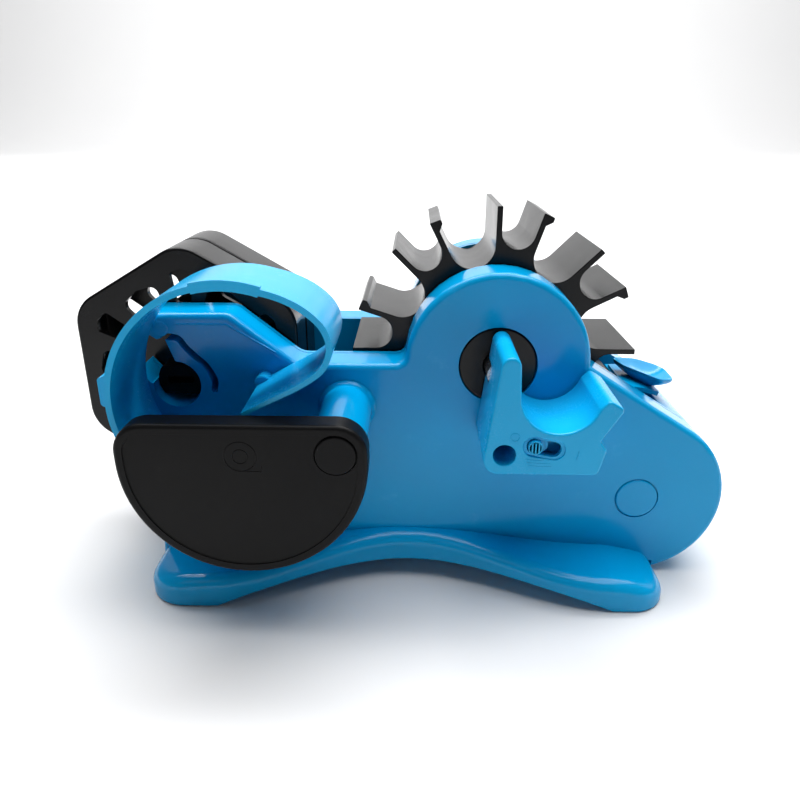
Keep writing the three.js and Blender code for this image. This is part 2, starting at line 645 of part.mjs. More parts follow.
function reel(y0, y1) {
  const drum = slab(hexagon(REEL_APOTHEM, REEL_CORNER), y0, y1);
  const inside = slab(hexagon(REEL_APOTHEM - REEL_RIM, REEL_CORNER - REEL_RIM), y0 + REEL_WEB, y1 + 1);
  const hub = bar(REEL_X, REEL_Z, REEL_HUB_R, y0 + REEL_WEB, y1 - 0.4);
  const windows = Array.from({ length: 6 }, (_, i) => [
    slab(reelWindow(60 * i, 13, 20.5, 28), y0 - 1, y0 + REEL_WEB + 1),
    slab(reelWindow(60 * i + 30, 6.5, 21.5, 31), y0 - 1, y0 + REEL_WEB + 1),
  ]).flat();
  const room = bar(REEL_X, REEL_Z, REEL_SHAFT_R + GAP, y0 - 1, y1 + 1, 24);
  const lightening = slab(ringPoints(REEL_HUB_R - 2.2), y0 + REEL_WEB + 2, y1 + 1)
    .subtract(bar(REEL_X, REEL_Z, REEL_SHAFT_R + GAP + 2, y0, y1 + 2));
  return cut(drum.subtract(inside).add(hub), ...windows, lightening, room);
}

const ringPoints = (r) => arc(REEL_X, REEL_Z, r, 0, 348, ARC_STEP);

function addReels() {
  const clear = WHEEL_Y0;
  const width = (WHEEL_Y1 - WHEEL_Y0 - REEL_SPLIT - 2 * GAP) / 2;
  place('front_reel', reel(clear, clear + width), BLACK());
  place('rear_reel', reel(WHEEL_Y1 - width, WHEEL_Y1), BLACK());
  const washer = bar(REEL_X, REEL_Z, REEL_HUB_R - 2, clear + width + GAP, WHEEL_Y1 - width - GAP)
    .subtract(bar(REEL_X, REEL_Z, REEL_SHAFT_R + GAP, 0, FAR_OUT));
  place('reel_washer', washer, SATIN_BLACK());

  // Flats on both ends let the shaft slip into the seats edge on; a quarter turn then holds it.
  const middle = bar(REEL_X, REEL_Z, REEL_SHAFT_R, WHEEL_Y0 - RUN / 2, WHEEL_Y1 + RUN / 2, 24);
  const end = (y0, y1) => bar(REEL_X, REEL_Z, SHAFT_R, y0, y1, 24)
    .intersect(box(REEL_X - 20, REEL_X + 20, y0, y1, REEL_Z - SHAFT_FLAT, REEL_Z + SHAFT_FLAT));
  const socket = box(REEL_X - 4, REEL_X + 4, 0, SHAFT_SINK + 5, REEL_Z - SOCKET_HALF, REEL_Z + SOCKET_HALF);
  const nearEnd = end(SHAFT_SINK, WHEEL_Y0 - RUN / 2);
  const shaft = joined(middle, nearEnd, end(WHEEL_Y1 + RUN / 2, FAR_OUT - SHAFT_SINK));
  place('reel_shaft', shaft.subtract(socket), SATIN_BLACK());
}

// ---------------------------------------------------------------- strap for the third roll

// The strap's outer line: up from its root, over the top, in round the end and back down to its tip.
function strapOutline() {
  const outer = [
    ...arc(STRAP_X, STRAP_Z, STRAP_R, 225, 75, FINE_STEP),
    ...rounded([[-60, 29.2, 0], [-47.5, 24, 12], [-44.5, 6, 8], [-58, -0.2, 0]]).slice(1),
    vec(-70, -5.9),
  ];
  const inner = [
    vec(-70.6, -4.5),
    ...rounded([[-57.6, 1.5, 0], [-46.3, 7.4, 6.4], [-49, 22.8, 10.3], [-60, 27.4, 0]]).slice(0, -1),
    ...arc(STRAP_X, STRAP_Z, STRAP_R - STRAP_T, 75, 225, FINE_STEP),
  ];
  return [...outer, ...inner];
}

function addStrap() {
  const strap = slab(strapOutline(), -STRAP_DEPTH, -GAP);
  const floorR = STRAP_R - STRAP_T / 2;
  const root = arc(STRAP_X, STRAP_Z, floorR, 225, 318, FINE_STEP);
  const rootPlate = slab([...root, vec(-60, -24), vec(-86, -20)], -GAP - 1.8, -GAP);
  const rimOuter = arc(STRAP_X, STRAP_Z, STRAP_R, 225, 318, FINE_STEP);
  const rimInner = arc(STRAP_X, STRAP_Z, STRAP_R - STRAP_T, 318, 225, FINE_STEP);
  const wall = slab([...rimOuter, ...rimInner], -STRAP_DEPTH, -GAP);
  const beadOuter = arc(STRAP_X, STRAP_Z, STRAP_R + 0.7, 103, 72, FINE_STEP);
  const beadInner = arc(STRAP_X, STRAP_Z, STRAP_R - STRAP_T - 0.4, 72, 103, FINE_STEP);
  const bead = slab([...beadOuter, ...beadInner], -STRAP_DEPTH, -STRAP_DEPTH + 2);
  const lug = slab(rounded([[-105.6, -4, 0], [-108.2, -4, 1], [-108.2, 4, 1], [-105.2, 5, 0]]),
    -STRAP_DEPTH + 2, -STRAP_DEPTH + 7);
  const button = bar(-69, -4.4, 2.4, -5, -GAP, 20);
  const screws = STRAP_SCREWS.map(([x, z]) => bar(x, z, SCREW_R + GAP, -5, 1, 12));
  place('roll_strap', cut(joined(strap, wall, rootPlate, bead, lug, button), ...screws), LIGHT_BLUE());
}

// ---------------------------------------------------------------- half-moon cover on its post
function coverOutline() {
  return rounded([
    ...sharp(arc(COVER_X, COVER_Z, COVER_R, 180, 360, FINE_STEP)),
    [COVER_X + COVER_R, COVER_TOP, COVER_CORNER], [COVER_X - COVER_R, COVER_TOP, COVER_CORNER],
  ]);
}

function addCover() {
  const post = turned(POST_X, POST_Z, [
    [0, -STRAP_DEPTH], [POST_R, -STRAP_DEPTH], [POST_R, -GAP - 1], [POST_R + 1, -GAP], [0, -GAP],
  ], 24);
  const pinEnd = COVER_PIN_REACH - STRAP_DEPTH;
  const pinRoom = bar(POST_X, POST_Z, COVER_PIN_R + GAP, -STRAP_DEPTH - 1, pinEnd + 2);
  const screwRoom = bar(POST_X, POST_Z, SCREW_R + GAP, -8, 1, 12);
  place('cover_post', cut(post, pinRoom, screwRoom), BLUE());

  const points = coverOutline();
  const plate = slab(points, COVER_FRONT, COVER_BACK, EDGE);
  const hollow = slab(inset(points, COVER_SHELL), COVER_FRONT + COVER_SHELL, COVER_BACK + 1);
  const boss = bar(POST_X, POST_Z, POST_R - 0.8, COVER_FRONT + 1, COVER_BACK);
  const headRoom = bar(POST_X, POST_Z, COVER_PIN_HEAD + GAP, COVER_FRONT - 1, COVER_FRONT + COVER_PIN_SINK);
  const bore = bar(POST_X, POST_Z, COVER_PIN_R + GAP, COVER_FRONT - 1, COVER_BACK + 1);
  place('half_moon_cover', cut(plate.subtract(hollow).add(boss), headRoom, bore), SATIN_BLACK());
  const pin = bar(POST_X, POST_Z, COVER_PIN_HEAD, COVER_FRONT - 0.2, COVER_FRONT + COVER_PIN_SINK - GAP)
    .add(bar(POST_X, POST_Z, COVER_PIN_R, COVER_FRONT, pinEnd));
  place('cover_pin', pin, SATIN_BLACK());
}

// ---------------------------------------------------------------- tape rollers
function addRollers() {
  [['rear', REAR_ROLLER], ['low', LOW_ROLLER]].forEach(([label, [x, z]]) => {
    const pin = bar(x, z, ROLLER_PIN_R, WALL + GAP, FAR_OUT - WALL - GAP, 10);
    place(`${label}_roller_pin`, pin, STEEL());
    const core = turned(x, z, [
      [0, WHEEL_Y0], [ROLLER_R, WHEEL_Y0], [ROLLER_R, MID_Y - 1.6], [ROLLER_R + 1.6, MID_Y - 0.8],
      [ROLLER_R + 1.6, MID_Y + 0.8], [ROLLER_R, MID_Y + 1.6], [ROLLER_R, WHEEL_Y1], [0, WHEEL_Y1],
    ], 18);
    place(`${label}_roller`, core.subtract(bar(x, z, ROLLER_PIN_R + GAP, 0, FAR_OUT, 10)), SATIN_BLACK());
  });
}

// ---------------------------------------------------------------- nose cover and blade lever
const NOSE_OPEN = 52;            // degrees, where the nose cover starts; the lever moves above it

function addNose() {
  const outside = arc(NOSE_X, NOSE_Z, NOSE_R, NOSE_OPEN, -62, FINE_STEP);
  const inside = arc(NOSE_X, NOSE_Z, NOSE_R - WALL, -62, NOSE_OPEN, FINE_STEP);
  place('nose_cover', slab([...outside, ...inside], HOUSING_DEPTH + GAP, FAR_IN - GAP), BLUE());
}

// A point at radius r from the lever's pivot, in the direction a degrees.
const aboutPivot = (r, a) => vec(NOSE_X + r * Math.cos(rad(a)), NOSE_Z + r * Math.sin(rad(a)));

// A point at radius r from the wheel axis along the blade, n above its middle.
function alongBlade(r, n) {
  const [c, w] = [Math.cos(rad(BLADE_ANGLE)), Math.sin(rad(BLADE_ANGLE))];
  return vec(r * c - n * w, r * w + n * c);
}

function addLever() {
  const half = LEVER_WIDTH / 2;
  const wide = [MID_Y - half, MID_Y + half];
  const under = NOSE_R + TAB_LIFT;
  const edge = WHEEL_TIP_R + BLADE_CLEAR;
  const seat = -BLADE_T / 2 - GAP;
  const web = [
    aboutPivot(3, 28), aboutPivot(under + 0.5, 87), aboutPivot(under + 0.5, 93), alongBlade(edge + 6, seat),
    alongBlade(edge + 1.4, -2.4), aboutPivot(3, 150),
  ];
  const tab = [
    ...arc(NOSE_X, NOSE_Z, under, 93, 68, FINE_STEP),
    aboutPivot(under + 3.2, 60.5), aboutPivot(under + 4.6, 58.6), aboutPivot(under + 5.2, 59.8),
    aboutPivot(under + 3.4, 65), aboutPivot(under + TAB_T + 0.3, 72), aboutPivot(under + TAB_T, 82),
    aboutPivot(under + TAB_T + 0.6, 92),
  ];
  const ledge = [
    alongBlade(edge + 1.2, seat), alongBlade(edge + 6, seat), alongBlade(edge + 7.5, -5),
    alongBlade(edge + 1.4, -2.4),
  ];
  const lever = joined(
    bar(NOSE_X, NOSE_Z, LEVER_PIN_R + GAP + WALL, ...wide, 24),
    slab(web, ...wide),
    slab(tab, MID_Y - TAB_WIDTH / 2, MID_Y + TAB_WIDTH / 2),
    slab(ledge, ...wide),
  ).subtract(bar(NOSE_X, NOSE_Z, LEVER_PIN_R + GAP, 0, FAR_OUT, 10));
  place('blade_lever', lever, BLUE());

  const blade = [
    alongBlade(edge, 0), alongBlade(edge + 0.8, BLADE_T / 2), alongBlade(edge + BLADE_LENGTH, BLADE_T / 2),
    alongBlade(edge + BLADE_LENGTH, -BLADE_T / 2), alongBlade(edge + 0.8, -BLADE_T / 2),
  ];
  place('cutting_blade', slab(blade, ...wide), STEEL());
  const over = BLADE_T / 2 + GAP;
  const clamp = [
    alongBlade(edge + 1.4, over), alongBlade(edge + 3.8, over), alongBlade(edge + 3.8, over + 1.4),
    alongBlade(edge + 2.2, over + 1.4),
  ];
  place('blade_clamp', slab(clamp, ...wide), SATIN_BLACK());
  place('lever_pin', bar(NOSE_X, NOSE_Z, LEVER_PIN_R, WALL + GAP, FAR_OUT - WALL - GAP, 10), STEEL());
}

// A torsion spring round the lever's pin, between the lever and the far inner cover.
function addSpring() {
  const coil = LEVER_PIN_R + GAP + 2 * SPRING_WIRE;
  const start = MID_Y + LEVER_WIDTH / 2 + SPRING_WIRE + GAP;
  const pitch = 2 * SPRING_WIRE + GAP / 2;
  const route = new THREE.Curve();
  route.getPoint = (t) => {
    const a = 2 * Math.PI * SPRING_TURNS * t;
    const y = start + SPRING_TURNS * pitch * t;
    return new THREE.Vector3(NOSE_X + coil * Math.cos(a), y, NOSE_Z + coil * Math.sin(a));
  };
  const flat = 360 / SPRING_SIDES;
  const section = new THREE.Shape(arc(0, 0, SPRING_WIRE, 0, 360 - flat, flat));
  const geometry = new THREE.ExtrudeGeometry(section, {
    steps: 12 * SPRING_TURNS, extrudePath: route, bevelEnabled: false,
  });
  place('lever_spring', solid(geometry), STEEL());
}

// ---------------------------------------------------------------- the whole dispenser
addBase();
addHousings();
addNose();
addWheel();
addCrank();
addReels();
addRollers();
addStrap();
addCover();
addLever();
addSpring();

const rearEnd = REEL_X - REEL_APOTHEM;
const frontEnd = NOSE_X + NOSE_R;
assembly.position.set(-(rearEnd + frontEnd) / 2, -(COVER_FRONT + FAR_OUT + FAR_FOOT) / 2, AXIS_HEIGHT);
const dispenser = new THREE.Group();
dispenser.add(assembly);

export default dispenser;
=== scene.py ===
import json
import math

import bmesh
import bpy
from mathutils import Matrix, Vector


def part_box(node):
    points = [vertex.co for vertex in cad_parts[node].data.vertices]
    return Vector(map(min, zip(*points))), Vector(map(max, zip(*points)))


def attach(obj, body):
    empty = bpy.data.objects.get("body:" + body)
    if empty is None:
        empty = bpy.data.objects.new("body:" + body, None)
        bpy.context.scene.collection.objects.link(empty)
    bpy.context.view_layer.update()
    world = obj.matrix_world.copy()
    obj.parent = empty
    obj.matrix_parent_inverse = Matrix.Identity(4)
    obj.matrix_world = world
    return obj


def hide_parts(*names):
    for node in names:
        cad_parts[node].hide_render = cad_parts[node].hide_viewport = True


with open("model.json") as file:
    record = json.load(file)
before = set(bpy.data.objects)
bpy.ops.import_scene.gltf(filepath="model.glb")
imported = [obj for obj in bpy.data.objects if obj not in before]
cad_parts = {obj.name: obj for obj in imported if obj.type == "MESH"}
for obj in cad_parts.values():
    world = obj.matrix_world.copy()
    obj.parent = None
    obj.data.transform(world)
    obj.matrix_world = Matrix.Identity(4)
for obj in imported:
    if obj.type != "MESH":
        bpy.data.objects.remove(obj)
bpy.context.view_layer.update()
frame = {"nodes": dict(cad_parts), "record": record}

MM = 0.001
GAP = 0.3       # clearance between facing pieces
THROUGH = 2.0   # how far a cutting tool runs past the faces that it cuts

# ---------------------------------------------------------------- places, from the frame
# Shapes below are drawn in millimetres about the wheel axis: x towards the nose, y away from the crank,
# z up, with y = 0 on the outer face of the near housing.
wheel_lo, wheel_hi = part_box("arm_wheel")
near_lo, near_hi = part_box("near_housing")
_, far_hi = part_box("far_housing")
ORIGIN = Vector(((wheel_lo.x + wheel_hi.x) / 2, near_lo.y, (wheel_lo.z + wheel_hi.z) / 2))


def spot(x, y, z):
    """A point in the drawing frame, in metres in the row frame."""
    return ORIGIN + Vector((x, y, z)) * MM


def drawn(point):
    """A point of the row frame, in millimetres in the drawing frame."""
    return (Vector(point) - ORIGIN) / MM


def middle(node):
    """The middle of a CAD node's box, in the drawing frame."""
    lo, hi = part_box(node)
    return drawn((Vector(lo) + Vector(hi)) / 2)


# ---------------------------------------------------------------- materials
def add_node(tree, kind, **values):
    node = tree.nodes.new(kind)
    for key, value in values.items():
        setattr(node, key, value)
    return node


def noise(tree, coords, scale, detail=3.0, rough=0.5):
    node = add_node(tree, "ShaderNodeTexNoise")
    node.inputs["Scale"].default_value = scale
    node.inputs["Detail"].default_value = detail
    node.inputs["Roughness"].default_value = rough
    tree.links.new(coords, node.inputs["Vector"])
    return node.outputs["Fac"]


def spread(tree, value, low, high, start=0.3, end=0.7):
    """The value, mapped from start..end to low..high."""
    node = add_node(tree, "ShaderNodeMapRange")
    for socket, number in (("From Min", start), ("From Max", end), ("To Min", low), ("To Max", high)):
        node.inputs[socket].default_value = number
    tree.links.new(value, node.inputs["Value"])
    return node.outputs["Result"]


def blend_colours(tree, factor, a, b):
    node = add_node(tree, "ShaderNodeMix", data_type="RGBA")
    tree.links.new(factor, node.inputs["Factor"])
    for socket, colour in ((node.inputs[6], a), (node.inputs[7], b)):
        if isinstance(colour, tuple):
            socket.default_value = (*colour, 1)
        else:
            tree.links.new(colour, socket)
    return node.outputs[2]


COAT_ROUGHNESS = 0.08
BUMP_STRENGTH = 0.06
BUMP_DEPTH = 0.00004


def moulded(name, dark, light, worn, rough, texture, coat=0.0, shine=0.5, metallic=0.0):
    """A moulded or worked surface: slow colour drift, fine texture in bump and roughness, rubbed patches."""
    material = bpy.data.materials.new(name)
    material.use_nodes = True
    tree = material.node_tree
    shader = tree.nodes["Principled BSDF"]
    coords = add_node(tree, "ShaderNodeTexCoord").outputs["Object"]
    drift = spread(tree, noise(tree, coords, 18.0), 0.0, 1.0)
    base = blend_colours(tree, drift, dark, light)
    rubbed = spread(tree, noise(tree, coords, 75.0, 6.0, 0.7), 0.0, 0.4, 0.6, 0.75)
    patches = spread(tree, noise(tree, coords, 900.0, 4.0), 0.2, 1.0)
    wear = add_node(tree, "ShaderNodeMath", operation="MULTIPLY")
    tree.links.new(rubbed, wear.inputs[0])
    tree.links.new(patches, wear.inputs[1])
    tree.links.new(blend_colours(tree, wear.outputs[0], base, worn), shader.inputs["Base Color"])
    fine = noise(tree, coords, texture, 4.0, 0.6)
    smears = noise(tree, coords, 45.0, 5.0, 0.65)
    gloss = add_node(tree, "ShaderNodeMath", operation="ADD")
    tree.links.new(spread(tree, fine, -0.03, 0.03), gloss.inputs[0])
    tree.links.new(spread(tree, smears, rough - 0.03, rough + 0.05), gloss.inputs[1])
    tree.links.new(gloss.outputs[0], shader.inputs["Roughness"])
    bump = add_node(tree, "ShaderNodeBump")
    bump.inputs["Strength"].default_value = BUMP_STRENGTH
    bump.inputs["Distance"].default_value = BUMP_DEPTH
    tree.links.new(fine, bump.inputs["Height"])
    tree.links.new(bump.outputs["Normal"], shader.inputs["Normal"])
    shader.inputs["Metallic"].default_value = metallic
    shader.inputs["Coat Weight"].default_value = coat
    shader.inputs["Coat Roughness"].default_value = COAT_ROUGHNESS
    shader.inputs["Specular IOR Level"].default_value = shine
    return material


MATERIALS = {
    "blue": moulded(
        "azure_plastic", (0.0, 0.31, 0.63), (0.0, 0.35, 0.70), (0.04, 0.45, 0.8),
        rough=0.16, texture=2600.0, coat=0.06, shine=0.24),
    "light_blue": moulded(
        "light_azure", (0.0, 0.37, 0.72), (0.01, 0.42, 0.78), (0.06, 0.52, 0.86),
        rough=0.24, texture=2400.0, coat=0.03, shine=0.26),
    "gloss_black": moulded(
        "gloss_black", (0.003, 0.003, 0.0035), (0.005, 0.005, 0.005), (0.02, 0.02, 0.022),
        rough=0.22, texture=2200.0, shine=0.24),
    "satin_black": moulded(
        "satin_black", (0.004, 0.004, 0.0045), (0.006, 0.006, 0.006), (0.02, 0.02, 0.02),
        rough=0.42, texture=3200.0, shine=0.13),
    "steel": moulded(
        "bright_steel", (0.55, 0.56, 0.57), (0.66, 0.67, 0.68), (0.8, 0.8, 0.8),
        rough=0.26, texture=1500.0, metallic=1.0),
    "rubber": moulded(
        "soft_rubber", (0.014, 0.014, 0.014), (0.024, 0.024, 0.024), (0.05, 0.05, 0.05),
        rough=0.8, texture=1800.0),
}
SLOTS = {entry["node"]: entry["material_slot"] for entry in frame["record"]["subparts"]}


# ---------------------------------------------------------------- outlines, as lists of (x, z) points
def arc(cx, cz, r, a0, a1, step=4.0):
    """Points on an arc from angle a0 to a1, in degrees."""
    count = max(3, math.ceil(abs(a1 - a0) / step))
    angles = [math.radians(a0 + (a1 - a0) * i / count) for i in range(count + 1)]
    return [(cx + r * math.cos(a), cz + r * math.sin(a)) for a in angles]


def circle(cx, cz, r, count=72):
    return arc(cx, cz, r, 0, 360, 360 / count)[:-1]


def rounded(corners, step=9.0):
    """A closed outline from (x, z) or (x, z, radius) corners."""
    points = []
    for i, corner in enumerate(corners):
        here = Vector(corner[:2])
        radius = corner[2] if len(corner) > 2 else 0
        if not radius:
            points.append(tuple(here))
            continue
        back = (Vector(corners[i - 1][:2]) - here).normalized()
        on = (Vector(corners[(i + 1) % len(corners)][:2]) - here).normalized()
        half = math.acos(max(-1, min(1, back.dot(on)))) / 2
        centre = here + (back + on).normalized() * (radius / math.sin(half))
        run = radius / math.tan(half)
        start = here + back * run - centre
        end = here + on * run - centre
        a0 = math.atan2(start.y, start.x)
        turn = math.atan2(end.y, end.x) - a0
        turn = (turn + math.pi) % (2 * math.pi) - math.pi
        points += arc(centre.x, centre.y, radius, math.degrees(a0), math.degrees(a0 + turn), step)
    return points


def band(line, width):
    """The outline of a band of that width along a smooth line through the points."""
    path = smooth_line(line, 6)
    sides = ([], [])
    for i, here in enumerate(path):
        along = (path[min(i + 1, len(path) - 1)] - path[max(i - 1, 0)]).normalized()
        across = Vector((-along.y, along.x)) * width / 2
        sides[0].append(tuple(here + across))
        sides[1].append(tuple(here - across))
    end_along = (path[-1] - path[-2]).normalized()
    tip = math.degrees(math.atan2(end_along.y, end_along.x))
    cap = arc(path[-1].x, path[-1].y, width / 2, tip + 90, tip - 90, 20)[1:-1]
    return sides[0] + cap + sides[1][::-1]


def smooth_line(line, steps):
    """A Catmull-Rom curve through the points."""
    points = [Vector(p) for p in line]
    ends = [2 * points[0] - points[1]] + points + [2 * points[-1] - points[-2]]
    path = []
    for p0, p1, p2, p3 in zip(ends, ends[1:], ends[2:], ends[3:]):
        for k in range(steps):
            t = k / steps
            path.append(0.5 * (2 * p1 + (p2 - p0) * t + (2 * p0 - 5 * p1 + 4 * p2 - p3) * t * t
                               + (3 * p1 - p0 - 3 * p2 + p3) * t ** 3))
    return path + [points[-1]]


# ---------------------------------------------------------------- solids
def finish_mesh(obj, angle=40):
    """Shades curved faces smoothly. Where one meets a flat face, both take the flat face's normal."""
    shape = bmesh.new()
    shape.from_mesh(obj.data)
    bmesh.ops.remove_doubles(shape, verts=shape.verts, dist=0.000004)
    bmesh.ops.triangulate(shape, faces=shape.faces)
    shape.to_mesh(obj.data)
    shape.free()
    mesh = obj.data
    limit = math.cos(math.radians(angle))
    normals = [polygon.normal.copy() for polygon in mesh.polygons]
    areas = [polygon.area for polygon in mesh.polygons]
    square_on = [max(abs(n.x), abs(n.y), abs(n.z)) > 0.99999 for n in normals]
    around = [[] for _ in mesh.vertices]
    for polygon in mesh.polygons:
        polygon.use_smooth = True
        for vertex in polygon.vertices:
            around[vertex].append(polygon.index)
    corners = []
    for polygon in mesh.polygons:
        own = normals[polygon.index]
        for vertex in polygon.vertices:
            close = [k for k in around[vertex] if normals[k].dot(own) > limit]
            flat = [k for k in close if square_on[k]]
            if flat:
                corners.append(normals[max(flat, key=lambda k: normals[k].dot(own))])
            else:
                total = sum((normals[k] * areas[k] for k in close), own * 1e-12)
                corners.append(total.normalized())
    mesh.normals_split_custom_set(corners)


def from_bmesh(name, shape):
    """An object in the scene from a bmesh, which is freed."""
    bmesh.ops.recalc_face_normals(shape, faces=shape.faces)
    mesh = bpy.data.meshes.new(name)
    shape.to_mesh(mesh)
    shape.free()
    obj = bpy.data.objects.new(name, mesh)
    bpy.context.collection.objects.link(obj)
    return obj


def prism(name, outline, y0, y1):
    """An outline in x and z, from y0 to y1."""
    shape = bmesh.new()
    face = shape.faces.new([shape.verts.new(spot(x, y0, z)) for x, z in outline])
    made = bmesh.ops.extrude_face_region(shape, geom=[face])
    moved = [v for v in made["geom"] if isinstance(v, bmesh.types.BMVert)]
    bmesh.ops.translate(shape, vec=Vector((0, y1 - y0, 0)) * MM, verts=moved)
    return from_bmesh(name, shape)


def turned(name, x, z, profile, sides=72):
    """A body of revolution about the y direction through x, z; the profile is (radius, y)."""
    shape = bmesh.new()
    rings = []
    for r, y in profile:
        if r == 0:
            rings.append([shape.verts.new(spot(x, y, z))])
        else:
            rings.append([shape.verts.new(spot(px, y, pz)) for px, pz in circle(x, z, r, sides)])
    for low, high in zip(rings, rings[1:]):
        for k in range(sides):
            n = (k + 1) % sides
            corners = [low[k % len(low)], low[n % len(low)], high[n % len(high)], high[k % len(high)]]
            shape.faces.new(list(dict.fromkeys(corners)))
    return from_bmesh(name, shape)


def stroke(name, points, y, radius, closed=False):
    """A raised line of that radius along points in x and z, half sunk at depth y."""
    curve = bpy.data.curves.new(name, "CURVE")
    curve.dimensions = "3D"
    curve.bevel_depth = radius * MM
    curve.bevel_resolution = 3
    spline = curve.splines.new("POLY")
    spline.points.add(len(points) - 1)
    for target, (x, z) in zip(spline.points, points):
        target.co = (*spot(x, y, z), 1)
    spline.use_cyclic_u = closed
    obj = bpy.data.objects.new(name, curve)
    bpy.context.collection.objects.link(obj)
    return obj


def combine(obj, tools, operation="DIFFERENCE"):
    """Cuts the tools out of obj, or joins them to it, and drops them."""
    for tool in tools:
        modifier = obj.modifiers.new("combine", "BOOLEAN")
        modifier.object = tool
        modifier.operation = operation
        modifier.solver = "EXACT"
        graph = bpy.context.evaluated_depsgraph_get()
        mesh = bpy.data.meshes.new_from_object(obj.evaluated_get(graph))
        obj.modifiers.clear()
        obj.data = mesh
        bpy.data.objects.remove(tool)
    return obj


def round_edges(obj, width, chosen, segments=4, angle=40):
    """Rounds the edges sharper than the angle whose middle, in the drawing frame, is chosen."""
    shape = bmesh.new()
    shape.from_mesh(obj.data)
    bmesh.ops.remove_doubles(shape, verts=shape.verts, dist=0.00001)
    bmesh.ops.dissolve_limit(shape, angle_limit=math.radians(0.5), verts=shape.verts, edges=shape.edges)
    edges = [
        e for e in shape.edges
        if len(e.link_faces) == 2 and e.calc_face_angle(0) > math.radians(angle)
        and chosen(drawn((e.verts[0].co + e.verts[1].co) / 2))
    ]
    bmesh.ops.bevel(shape, geom=edges, offset=width * MM, segments=segments, profile=0.5,
                    affect="EDGES", clamp_overlap=True)
    shape.to_mesh(obj.data)
    shape.free()
    return obj


def stand_in(obj, node, *more):
    """obj, finished and painted, shows in place of the CAD node, on that node's body."""
    finish_mesh(obj)
    slot = SLOTS[node]
    paint(obj, slot)
    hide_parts(node, *more)
    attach(obj, BODY_OF[node])


def trim(obj, slot, body):
    """obj is a small visible detail on a body."""
    if obj.type == "MESH":
        finish_mesh(obj)
    paint(obj, slot)
    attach(obj, body)


def paint(obj, slot):
    obj.data.materials.clear()
    obj.data.materials.append(MATERIALS[slot])


BODY_OF = {
    node: body for body, nodes in frame["record"]["behaviour"]["bodies"].items() for node in nodes
}


def everywhere(_):
    return True


# ---------------------------------------------------------------- finish of the carried-over nodes
def soften(obj):
    """Rounds the sharp edges of a node by modifiers and shades its curved faces smoothly."""
    for polygon in obj.data.polygons:
        polygon.use_smooth = True
    flats = obj.modifiers.new("flats", "DECIMATE")
    flats.decimate_type = "DISSOLVE"
    flats.angle_limit = math.radians(1.0)
    edge = obj.modifiers.new("edge", "BEVEL")
    edge.width = 0.25 * MM
    edge.segments = 2
    edge.limit_method = "ANGLE"
    edge.angle_limit = math.radians(32)
    edge.use_clamp_overlap = True
    even = obj.modifiers.new("even", "WEIGHTED_NORMAL")
    even.keep_sharp = False
    even.weight = 80


for node_name, node in frame["nodes"].items():
    paint(node, SLOTS[node_name])
    soften(node)

# ---------------------------------------------------------------- housings
SEAM = 11.1              # from a housing's outer face to the inner cover
FAR_OUT = drawn(far_hi).y
LOBE_R = 27.3
FILLET = 3.2             # between the lobe and the low flat top
REAR_X = -107.2
SHOULDER_X = -59.5       # where the low flat top meets the rear slope
REAR_TOP_X = -78.4       # where the rear slope meets the high flat top
REAR_TOP_Z = 15.2
BASE_END_X = 53.0
FRONT_X = BASE_END_X + 2 * GAP
NOSE = middle("near_plug")
NOSE_R = drawn(near_hi).x - NOSE.x
DECK = drawn(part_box("base")[1]).z
SLOPE = 58               # degrees, direction that the front slope faces
HOUSING_EDGE = 1.9
REEL = middle("front_reel")
SEAT_R = 7.2
HUB_R = 11.3
PLUG_R = 6.5
PLUG_T = 0.9
PLUG_PROUD = 0.35


def housing_outline():
    """The near housing from the side. Its lower edge is hidden inside the base."""
    fillet_x = -math.sqrt((LOBE_R + FILLET) ** 2 - FILLET ** 2)
    lean = math.degrees(math.atan2(FILLET, -fillet_x))
    normal = Vector((math.cos(math.radians(SLOPE)), math.sin(math.radians(SLOPE))))
    offset = normal.x * NOSE.x + normal.y * NOSE.z + NOSE_R
    lobe_end = SLOPE - math.degrees(math.acos(offset / LOBE_R))
    nose_end = -math.degrees(math.acos((FRONT_X - NOSE.x) / NOSE_R))
    rear = rounded([
        (REAR_X, DECK - 4), (REAR_X, -1, 4), (REAR_X + 3.8, REAR_TOP_Z, 4.5), (REAR_TOP_X, REAR_TOP_Z, 5),
        (SHOULDER_X, 0, 6), (fillet_x, 0),
    ])
    return (rear + arc(fillet_x, FILLET, FILLET, -90, -lean, 12)[1:]
            + arc(0, 0, LOBE_R, 180 - lean, lobe_end)[1:]
            + arc(NOSE.x, NOSE.z, NOSE_R, SLOPE, nose_end)
            + [(FRONT_X, DECK - 7), (38, DECK - 6), (20, DECK - 0.5), (-85, DECK - 0.5), (-95, DECK - 4)])


# The way in for the reel shaft, and the line of the slot behind the snap finger, about the reels' axis.
ENTRY = [(-7.6, 0.2), (-11.2, 4.4), (-24, 12), (-24, 18.4), (-8.2, 16.4), (-4.4, 14), (-2.3, 14.6),
         (-1.4, 12.2), (0.2, 7.4), (4.6, 4.6)]
SNAP_LINE = [(-3.2, 14.9), (1.6, 14.4), (3.8, 11.6), (6.2, 9), (9.4, 5.8), (11.4, 1.6), (11.2, -1.6)]


def about_reel(points):
    return [(REEL.x + x, REEL.z + z) for x, z in points]


